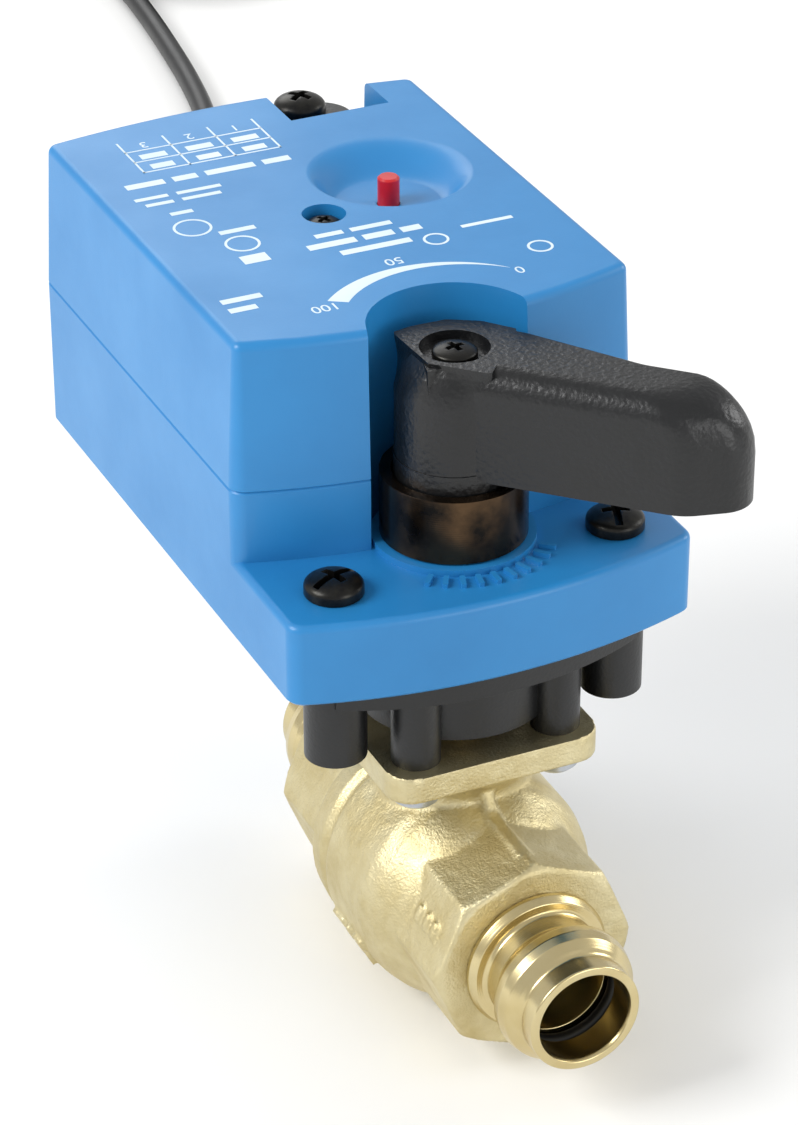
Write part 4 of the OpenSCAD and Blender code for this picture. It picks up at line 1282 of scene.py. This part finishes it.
    def word(self, text: str, centre: Flat, size: float, turn: float = 180.0) -> bpy.types.Object:
        """Prints a plain number on the cover, read from behind.

        Args:
            text: The number.
            centre: Its middle, measured from the stem.
            size: The letter size, in millimetres.
            turn: Its turn about +Z, in degrees.

        Returns:
            The raised number.
        """
        curve = bpy.data.curves.new("number", "FONT")
        curve.body, curve.size, curve.extrude = text, size * MM, 0.035 * MM
        curve.align_x, curve.align_y = "CENTER", "CENTER"
        curve.materials.append(PRINT_WHITE.material())
        flat = in_scene("number", curve)
        bpy.context.view_layer.update()
        mesh = bpy.data.meshes.new_from_object(flat)
        bpy.data.objects.remove(flat)
        place, angle = self.at(centre), math.radians(turn)
        for vertex in mesh.vertices:
            x, y = vertex.co.x, vertex.co.y
            vertex.co = (place[0] * MM + x * math.cos(angle) - y * math.sin(angle),
                         place[1] * MM + x * math.sin(angle) + y * math.cos(angle), vertex.co.z + TOP * MM)
        return in_scene("number_" + text, mesh)

    def wedge(self) -> bpy.types.Object:
        """The scale's crescent, from its thick end to its thin one, about the stem.

        Returns:
            The printed crescent.
        """
        thick, thin, outer = 135.0, 40.0, 21.6
        rim = [(a, outer) for a in (thick + (thin - thick) * k / 40 for k in range(41))]
        inside = [(a, outer - 3.4 * (a - thin) / (thick - thin)) for a, _ in reversed(rim)]
        outline = [self.at((r * math.cos(math.radians(a)), r * math.sin(math.radians(a))))
                   for a, r in rim + inside[:-1]]
        return prism("scale_wedge", outline, TOP - 0.03, TOP + 0.04, PRINT_WHITE)

    def print_parts(self) -> list[bpy.types.Object]:
        """Everything printed on the cover; words of the maker are left as plain bars.

        Returns:
            One object for each mark.
        """
        parts = [self.wedge(), self.word("100", (-16.6, 13.2), 3.3), self.word("50", (0.4, 24.0), 3.3),
                 self.word("0", (17.6, 12.6), 3.3)]
        low, high, columns, rows = (-24.0, 73.0), (1.6, 86.2), 3, 3
        cell = ((high[0] - low[0]) / columns, (high[1] - low[1]) / rows)
        parts.append(self.bar("table_upright", low, 0.35, high[1] - low[1], columns + 1, (cell[0] - 0.1, 0)))
        parts.append(self.bar("table_line", low, high[0] - low[0], 0.35, rows, (0, cell[1])))
        for i in range(3):
            x = low[0] + cell[0] * (i + 0.5)
            parts.append(self.word(str(3 - i), (x, low[1] + cell[1] * 2.5), 3.2))
            parts.append(self.bar("label", (x - 2.4, low[1] + cell[1] * 1.2), 4.8, 1.9))
            parts.append(self.bar("label", (x - 2.1, low[1] + cell[1] * 0.22), 4.2, 1.9))
        for y, first, words in ((67.6, -29.0, (7, 4.4, 9, 5)), (62.6, -29.5, (6, 8)), (60.0, -28.5, (5, 7))):
            x = first
            for long in words:
                parts.append(self.bar("line_of_print", (x, y), long, 1.9 if y > 65 else 1.1))
                x += long + 1.6
        parts += [self.ring((-24.6, 49.5), 3.3), self.ring((-19.4, 40.5), 3.0),
                  self.bar("mark", (-26.0, 55.2), 4.0, 1.2),
                  self.bar("mark", (-21.4, 44.9), 6.4, 1.4), self.bar("mark", (-22.0, 33.0), 4.6, 3.0),
                  self.bar("mark", (-31.0, 21.0), 7.0, 1.6), self.bar("mark", (-31.0, 17.6), 4.8, 1.6)]
        for y, first, depth, words in ((37.0, -7.6, 1.4, (5.0, 7.4)), (33.2, -10.4, 1.9, (8.6, 5.4, 3.6)),
                                       (29.4, -6.2, 1.7, (12.6,)), (30.6, 16.0, 1.0, (9.4,))):
            x = first
            for long in words:
                parts.append(self.bar("line_of_print", (x, y), long, depth))
                x += long + 1.4
        return parts + [self.ring((10.2, 28.6), 2.2), self.ring((24.6, 19.0), 2.2)]

    def ring(self, centre: Flat, radius: float) -> bpy.types.Object:
        """One printed ring.

        Args:
            centre: Its middle, measured from the stem.
            radius: Its outer radius.

        Returns:
            The ring.
        """
        place = self.at(centre)
        profile = [(radius - 0.45, TOP - 0.03), (radius, TOP - 0.03), (radius, TOP + 0.04),
                   (radius - 0.45, TOP + 0.04)]
        return spin("printed_ring", profile, Axis.Z, Vector((*place, 0)), PRINT_WHITE, 48)

    def build(self) -> None:
        """Makes both mouldings, the ticks and the print."""
        settle(self.upper(), "housing", ["upper_housing"])
        settle(self.lower(), "housing", ["lower_housing"])
        settle(self.graduation(), "housing")
        settle(joined("cover_print", self.print_parts()), "housing")


# ---------------------------------------------------------------- lever and coupler


@dataclass
class Lever:
    """The black position lever on its browned coupler."""

    turn: float = -45.0
    length: float = 49.4
    height: float = 19.5
    front: float = -7.4
    rear: float = 4.9
    hub_r: float = 9.75
    plug_r: float = 9.9
    front_round: float = 4.3
    tip_round: float = 11.0
    below_top: float = 4.3
    head_blend: float = 7.0
    head: tuple[Flat, ...] = ((-11.0, 1.2), (-9.2, 4.0), (-4.6, 8.4), (1.0, 9.9), (7.4, 9.2), (8.6, -7.0),
                              (-2.0, -7.0))

    def set_in(self, s: float, t: float, z: float) -> tuple[float, float, float]:
        """Turns a place measured along and across the lever into the row's frame."""
        angle = math.radians(self.turn)
        return (STEM.x + s * math.cos(angle) - t * math.sin(angle),
                STEM.y + s * math.sin(angle) + t * math.cos(angle), z)

    def ring(self, outline: Sequence[Flat], z: float) -> list[tuple[float, float, float]]:
        """One level of the lever."""
        return [self.set_in(s, t, z) for s, t in outline]

    def arm_outline(self, depth: float) -> list[Flat]:
        """The arm's outline at a depth below its top, where its edges roll over.

        Args:
            depth: The depth below the lever's top.

        Returns:
            The outline, along and across the lever.
        """

        def rolled(radius: float) -> float:
            """How far an edge with this rounding has drawn in at the depth.

            Args:
                radius: The edge's rounding.

            Returns:
                The distance, in millimetres.
            """
            if depth >= radius:
                return 0.0
            return radius * (1 - math.sqrt(max(1 - ((radius - depth) / radius) ** 2, 0)))

        front, tip, rear = rolled(self.front_round), rolled(self.tip_round), rolled(0.9)
        return fillet([(-1.0, self.front + front - 0.1, 0.3),
                       (self.length - 9 - tip * 0.6, self.front + front + 0.1, 9.0),
                       (self.length - tip, self.front + front + 5.4, 7.0),
                       (self.length - tip, self.rear - rear, 4.5),
                       (30.0, self.rear - rear, 12.0), (9.0, 9.0 - rear, 8.0), (-1.0, 9.3 - rear, 0.3)], 8)

    def head_reach(self, count: int) -> list[float]:
        """How far the pointed top reaches from the stem, in evenly turned directions along the lever.

        Args:
            count: How many directions there are in a full turn.

        Returns:
            One distance for each direction, in millimetres.
        """
        made = []
        for k in range(count):
            ray = Vector((math.cos(math.tau * k / count), math.sin(math.tau * k / count)))
            best = 0.0
            for (ax, ay), (bx, by) in zip(self.head, self.head[1:] + self.head[:1]):
                edge = Vector((bx - ax, by - ay))
                cross = ray.cross(edge)
                if abs(cross) < 1e-9:
                    continue
                far, along = Vector((ax, ay)).cross(edge) / cross, Vector((ax, ay)).cross(ray) / cross
                if far > 0 and -1e-6 <= along <= 1 + 1e-6:
                    best = max(best, far)
            made.append(best)
        return made

    def build(self) -> None:
        """Makes the lever with its hub, pointed head and screw seat, and the coupler under it."""
        top = TOP - self.below_top
        bottom = top - self.height
        depths = [self.height, self.height - 0.5, 11.0, 8.6, 6.6, 5.2, 4.3, 3.4, 2.6, 1.9, 1.3, 0.8, 0.4,
                  0.15, 0.0]
        arm = loft("position_lever", [self.ring(self.arm_outline(d), top - d) for d in depths], LEVER_BLACK)
        reach = self.head_reach(96)
        rings = [circle_of([self.hub_r] * 96, bottom, self.turn),
                 circle_of([self.hub_r] * 96, top - self.head_blend, self.turn),
                 circle_of([0.5 * (self.hub_r + r) for r in reach], top - self.head_blend * 0.4, self.turn),
                 circle_of(reach, top - 0.9, self.turn), circle_of(reach, top, self.turn)]
        combine(arm, loft("hub", rings), "UNION")
        crease = [(-3.4, -5.6), (1.6, -5.6), (-1.4, -8.9)]
        tip = [(s * 0.15 - 0.9, t * 0.15 - 7.6) for s, t in crease]
        combine(arm, loft("crease", [self.ring(crease, top - 0.5), self.ring(tip, top - 8.5)]), "UNION")
        coupler = copy_of("output_coupler", "coupler_ring", COUPLER_BRONZE)
        cup_floor = PARTING - 3.4
        combine(arm, prism("plug", circle(STEM_XY, self.plug_r), cup_floor, bottom + 1), "UNION")
        combine(arm, prism("seat", circle(STEM_XY, 5.75, 64), top - 1.6, top + 2))
        combine(arm, prism("screw_way", circle(STEM_XY, 2.6, 32), cup_floor - 1, top + 2))
        settle(soften(arm, 0.4), "output", ["lever"])
        settle(soften(coupler, 0.4), "output", ["output_coupler"])


# ---------------------------------------------------------------- fasteners


class Recess(Enum):
    """How a screw is driven."""

    CROSS = "cross"
    COMBINED = "combined"


@dataclass
class Fasteners:
    """All visible screws, each a domed head with its recess, washer face and shank."""

    repeater: Repeater

    def screw(self, name: str, head_r: float, head_h: float, shank_r: float, length: float,
              recess: Recess) -> bpy.types.Object:
        """Makes one upright screw whose head stands on the origin.

        Args:
            name: The piece's name.
            head_r: The head's radius.
            head_h: The head's height.
            shank_r: The shank's radius.
            length: How far the shank goes down.
            recess: How it is driven.

        Returns:
            The screw, round the origin.
        """
        dome = [(head_r * math.cos(a), head_h * 0.45 + head_h * 0.55 * math.sin(a)) for a in
                (math.pi / 2 * k / 8 for k in range(8))]
        profile = [(0, -length), (shank_r, -length), (shank_r, 0), (head_r * 0.96, 0),
                   (head_r, head_h * 0.08)]
        made = spin(name, profile + dome + [(0, head_h)], Axis.Z, finish=BLACK_OXIDE, count=64)
        wing, thick = head_r * 0.56, head_r * 0.13
        for across in (False, True):
            long, wide = (wing, thick) if across else (thick, wing)
            if recess is Recess.COMBINED and across:
                long = head_r * 1.1
            low = [(x * 0.55 if abs(x) > thick + 0.01 else x, y * 0.55 if abs(y) > thick + 0.01 else y,
                    head_h * 0.28)
                   for x, y in rectangle((-long, -wide), (long, wide))]
            high = [(x, y, head_h + 1) for x, y in rectangle((-long, -wide), (long, wide))]
            combine(made, loft("recess", [low, high]))
        return soften(made, head_r * 0.03, 40, 2)

    def build(self) -> None:
        """Makes the platform's pair and the single screws."""
        front = self.screw("platform_screws", 4.9, 3.4, 1.9, 26, Recess.COMBINED)
        low, high = corner_mm("front_screws", 0), corner_mm("front_screws", 1)
        place = (low.x + 4.9, low.y + 4.9, high.z - 4.2)
        self.repeater.repeat(front, 2, place, (high.x - low.x - 9.8, 0, 0), 20, 52)
        settle(front, "housing", ["front_screws"])
        for node, name, head_r, head_h, shank_r, length, body, turn in (
                ("rear_screw", "bracket_rear_screw", 4.7, 4.0, 1.9, 13, "housing", 35),
                ("lever_screw", "lever_centre_screw", 3.7, 1.7, 2.45, 46, "output", 10),
                ("cover_screw", "cover_front_screw", 3.0, 2.0, 1.2, 13.3, "housing", 30)):
            low, high = corner_mm(node, 0), corner_mm(node, 1)
            made = self.screw(name, head_r, head_h, shank_r, length, Recess.CROSS)
            self.repeater.repeat(made, 1, ((low.x + high.x) / 2, (low.y + high.y) / 2, low.z + length),
                                 (0, 0, 0), turn)
            settle(made, body, [node])


# ---------------------------------------------------------------- bracket


@dataclass
class Bracket:
    """The black mounting bracket between actuator and valve, with its rear post."""

    edge: float = 0.6

    def build(self) -> None:
        """Rounds the moulding's edges and gives it its grain."""
        settle(soften(copy_of("mounting_bracket", "valve_bracket", BRACKET_BLACK), self.edge), "housing",
               ["mounting_bracket"])


# ---------------------------------------------------------------- valve


@dataclass
class Valve:
    """The forged valve body and end cap, and the two turned press ends."""

    octagon_r: float = 18.2
    face: float = 18.5
    barrel_r: float = 21.0
    cap_face: float = 64.0
    pad: float = 38.0
    pad_t: float = 5.0
    pad_z: float = 31.5
    bore_r: float = 11.5
    chamber_r: float = 13.4
    port_r: float = 7.5
    voxel: float = 0.42

    def octagon(self, name: str, low: float, high: float) -> bpy.types.Object:
        """An eight-sided bar along the pipe with its corners in the X and Z planes."""
        ring = circle((0, 0), self.octagon_r, 8)
        return loft(name, [[(x, y, z) for x, z in ring] for y in (low, high)])

    def chamfered(self, name: str, face: float, back: float) -> bpy.types.Object:
        """The octagon with its end turned down to a chamfer at face; back is its other end.

        Args:
            name: The piece's name.
            face: Where the chamfered end is, along the pipe.
            back: Where the other end is.

        Returns:
            The bar.
        """
        low, high = min(face, back), max(face, back)
        bar = self.octagon(name, low, high)
        step = 2.4 if face < back else -2.4
        profile = [(0, face), (17.0, face), (19.4, face + step), (19.4, back), (0, back)]
        return combine(bar, spin("turned_down", profile, Axis.Y), "INTERSECT")

    def marks(self, body: bpy.types.Object, centre: Vector, around: float, radius: float,
              rows: Sequence[Sequence[float]], tall: float) -> None:
        """Adds rows of short raised bars, where such a forging carries its raised marks.

        Args:
            body: The shape that takes them.
            centre: A point on the pipe's axis, in the middle of the marks.
            around: The direction they face, in degrees about the pipe from +X.
            radius: The surface's distance from the axis.
            rows: The bars' lengths along the pipe, row by row.
            tall: The bars' height across the pipe.
        """
        angle = math.radians(around)
        out = Vector((math.cos(angle), 0, math.sin(angle)))
        up = Vector((-math.sin(angle), 0, math.cos(angle)))
        for i, row in enumerate(rows):
            along = -(sum(row) + 1.3 * (len(row) - 1)) / 2
            for long in row:
                low = centre + up * ((i - (len(rows) - 1) / 2) * (tall + 1.6))
                outline = box_outline((along + long / 2, 0), long, tall, 0.4)
                rings = [[low + Vector((0, x, 0)) + up * z + out * r for x, z in outline]
                         for r in (radius - 2.5, radius + 0.75)]
                combine(body, loft("mark", rings), "UNION")
                along += long + 1.3

    def forged(self, piece: bpy.types.Object) -> bpy.types.Object:
        """Rounds a shape all over, as a die and blasting leave it."""
        modify(piece, "REMESH", mode="VOXEL", voxel_size=self.voxel * MM, adaptivity=0.0,
               use_smooth_shade=True)
        return modify(piece, "SMOOTH", factor=0.5, iterations=3)

    def body(self) -> bpy.types.Object:
        """Makes the valve body: octagon, barrel, neck and the square pad that the bracket stands on.

        Returns:
            The forging, without its finish.
        """
        y = STEM.y
        made = self.chamfered("valve_forging", self.face, y - 13)
        barrel = [(0, y - 20), (15.6, y - 20), (17.6, y - 17.4), (18.9, y - 14.6), (20.2, y - 12.0),
                  (self.barrel_r, y - 8.4),
                  (self.barrel_r, y + 6.0), (20.0, y + 6.8), (20.0, y + 8.2), (20.7, y + 9.0),
                  (20.2, self.cap_face),
                  (0, self.cap_face)]
        combine(made, spin("barrel", barrel, Axis.Y), "UNION")
        neck = [(0, 8), (13.2, 8), (13.2, self.pad_z - 10.5), (14.2, self.pad_z - 8.6),
                (16.4, self.pad_z - 6.6),
                (17.4, self.pad_z - 5.6), (17.4, self.pad_z - 4), (0, self.pad_z - 4)]
        combine(made, spin("neck", neck, Axis.Z, STEM_FOOT), "UNION")
        pad = box_outline(STEM_XY, self.pad, self.pad, 4.5)
        combine(made, prism("pad", pad, self.pad_z - self.pad_t, self.pad_z), "UNION")
        rib = fillet([(self.face + 4, 12, 0.5), (y - 6, 12, 0.5), (y - 6, 25, 2.0), (y - 12.4, 25, 2.0),
                      (y - 15.5, 18.6, 2.0),
                      (self.face + 4, 18.2, 0.8)])
        combine(made, loft("parting_rib", [[(x, py, z) for py, z in rib] for x in (-1.1, 1.1)]), "UNION")
        self.marks(made, Vector((0, y - 1.5, 0)), 208, self.barrel_r, ((3.4, 1.2, 4.2), (2.2, 3.0, 2.2)), 2.6)
        self.marks(made, Vector((0, y - 1.5, 0)), 332, self.barrel_r, ((4.4, 2.2, 3.0),), 2.6)
        apothem = self.octagon_r * math.cos(math.pi / 8)
        self.marks(made, Vector((0, self.face + 8.5, 0)), 157.5, apothem, ((1.6, 1.4, 1.6),), 3.2)
        self.marks(made, Vector((0, self.face + 8.5, 0)), 22.5, apothem, ((2.6, 2.2),), 3.2)
        self.forged(made)
        cuts = (spin("chamber", [(0, y - 14.5), (self.chamber_r, y - 14.5), (self.chamber_r, y + 8),
                                 (15, y + 8),
                                 (15, self.cap_face + 2), (0, self.cap_face + 2)], Axis.Y),
                spin("front_way", [(0, self.face - 2), (self.bore_r, self.face - 2),
                                   (self.bore_r, self.face + 10.5),
                                   (self.port_r, self.face + 10.5), (self.port_r, y), (0, y)], Axis.Y),
                spin("stem_way", [(0, 5), (6.8, 5), (6.8, 15.7), (5.05, 15.7), (5.05, 45), (0, 45)], Axis.Z,
                     STEM_FOOT))
        for tool in cuts:
            combine(made, tool)
        for k in range(4):
            angle = math.pi / 4 + math.pi / 2 * k
            place = (STEM.x + 18 * math.cos(angle), STEM.y + 18 * math.sin(angle))
            combine(made, prism("screw_way", circle(place, 2.4, 32), self.pad_z - 9, self.pad_z + 2))
            combine(made, prism("spot_face", circle(place, 4.3, 48), self.pad_z - 9, self.pad_z - self.pad_t))
        return shade(made, 42)

    def cap(self) -> bpy.types.Object:
        """Makes the end cap: the rear octagon with its spigot.

        Returns:
            The forging, without its finish.
        """
        rear = 2 * STEM.y - self.face
        made = self.chamfered("end_cap_forging", rear, self.cap_face)
        self.forged(made)
        spigot = [(0, self.cap_face - 5.4), (14.95, self.cap_face - 5.4), (14.95, self.cap_face - 3),
                  (13.7, self.cap_face - 3),
                  (13.7, self.cap_face - 0.8), (14.95, self.cap_face - 0.8), (14.95, self.cap_face + 1),
                  (0, self.cap_face + 1)]
        combine(made, spin("spigot", spigot, Axis.Y), "UNION")
        way = [(0, self.cap_face - 7), (12.0, self.cap_face - 7), (12.0, self.cap_face - 2),
               (self.port_r, self.cap_face - 2),
               (self.port_r, rear - 10.5), (self.bore_r, rear - 10.5), (self.bore_r, rear + 2), (0, rear + 2)]
        combine(made, spin("way", way, Axis.Y))
        return shade(made, 42)

    def press_end(self, name: str, mirrored: bool) -> bpy.types.Object:
        """Turns one press end: thread, bevelled ring, neck, seal bead and flared mouth.

        Args:
            name: The piece's name.
            mirrored: Whether it faces to the rear.

        Returns:
            The press end.
        """
        outside: list[Corner] = [
            (11.45, 29.0, 0.3), (11.45, 18.5, 0.1), (12.65, 18.5, 0.25), (12.65, 17.6, 0.3),
            (11.9, 16.3, 0.4), (10.1, 16.2, 0.9),
            (9.7, 12.3, 1.2), (10.9, 11.0, 0.8), (11.9, 9.6, 0.8), (12.1, 7.7, 1.2), (11.7, 5.9, 0.8),
            (10.5, 4.6, 0.7),
            (9.75, 4.0, 0.9), (9.83, 0.1, 0.35), (8.35, 0.0, 0.3), (8.05, 0.7, 0.3), (8.05, 5.9, 0.2),
            (10.4, 5.9, 0.3),
            (10.7, 7.5, 0.9), (10.4, 9.6, 0.3), (8.05, 9.6, 0.2), (8.05, 20.0, 0.2), (6.9, 20.0, 0.2),
            (6.9, 29.0, 0.3)]
        profile = fillet([(r, 2 * STEM.y - h if mirrored else h, c) for r, h, c in outside], 3)
        return shade(spin(name, profile, Axis.Y, finish=TURNED_BRASS, count=128), 40)

    def build(self) -> None:
        """Makes the forgings and the press ends."""
        for make, name in ((self.body, "valve_body"), (self.cap, "end_cap")):
            piece = make()
            piece.data.materials.clear()
            piece.data.materials.append(FORGED_BRASS.material())
            settle(piece, "housing", [name])
        settle(self.press_end("front_end", False), "housing", ["front_press_end"])
        settle(self.press_end("rear_end", True), "housing", ["rear_press_end"])


# ---------------------------------------------------------------- pieces whose CAD shape stays


NODE_FINISHES: dict[str, Finish] = {
    "housing_screws": BLACK_OXIDE, "rear_washer": BLACK_OXIDE, "coupler_clip": BLACK_OXIDE,
    "shaft_clip": BLACK_OXIDE,
    "gear_plate": ZINC_STEEL, "plate_screws": ZINC_STEEL, "gear_axles": ZINC_STEEL,
    "release_shaft": ZINC_STEEL,
    "motor_screws": ZINC_STEEL, "bracket_screws": ZINC_STEEL, "button_spring": ZINC_STEEL,
    "motor_gearhead": MOTOR_STEEL, "motor_can": MOTOR_STEEL, "lower_bush": SINTERED_BRONZE,
    "upper_bush": SINTERED_BRONZE,
    "sector_gear": GEAR_ACETAL, "wheel_1": GEAR_ACETAL, "wheel_2": GEAR_ACETAL, "clutch_wheel": GEAR_BRASS,
    "motor_pinion": GEAR_BRASS, "release_button": BUTTON_RED, "circuit_board": BOARD_GREEN,
    "capacitor": PART_BLACK,
    "board_parts": PART_BLACK, "wire_header": HEADER_WHITE, "inner_wires": WIRE_RED, "stem": STEM_BRASS,
    "ball": CHROMED_BRASS, "ball_seats": WHITE_PTFE, "thrust_washer": WHITE_PTFE, "cap_o_ring": SEAL_RUBBER,
    "stem_o_rings": SEAL_RUBBER, "press_o_rings": SEAL_RUBBER,
}


def dress_nodes() -> None:
    """Gives every CAD node that stays in view its own finish."""
    for node, finish in NODE_FINISHES.items():
        piece = frame["nodes"][node]
        for slot in piece.material_slots:
            slot.material = finish.material()
        LOG.info("%s is dressed in %s", node, finish.name)


def main() -> None:
    """Builds the scene: camera and cable first, then each sub-assembly in order."""
    logging.basicConfig(level=logging.INFO, format="%(name)s: %(message)s")
    studio = Studio()
    studio.camera()
    Cable().build()
    repeater = Repeater()
    Housing(repeater).build()
    Lever().build()
    Fasteners(repeater).build()
    Bracket().build()
    Valve().build()
    dress_nodes()
    studio.build()


if __name__ == "__main__":
    main()
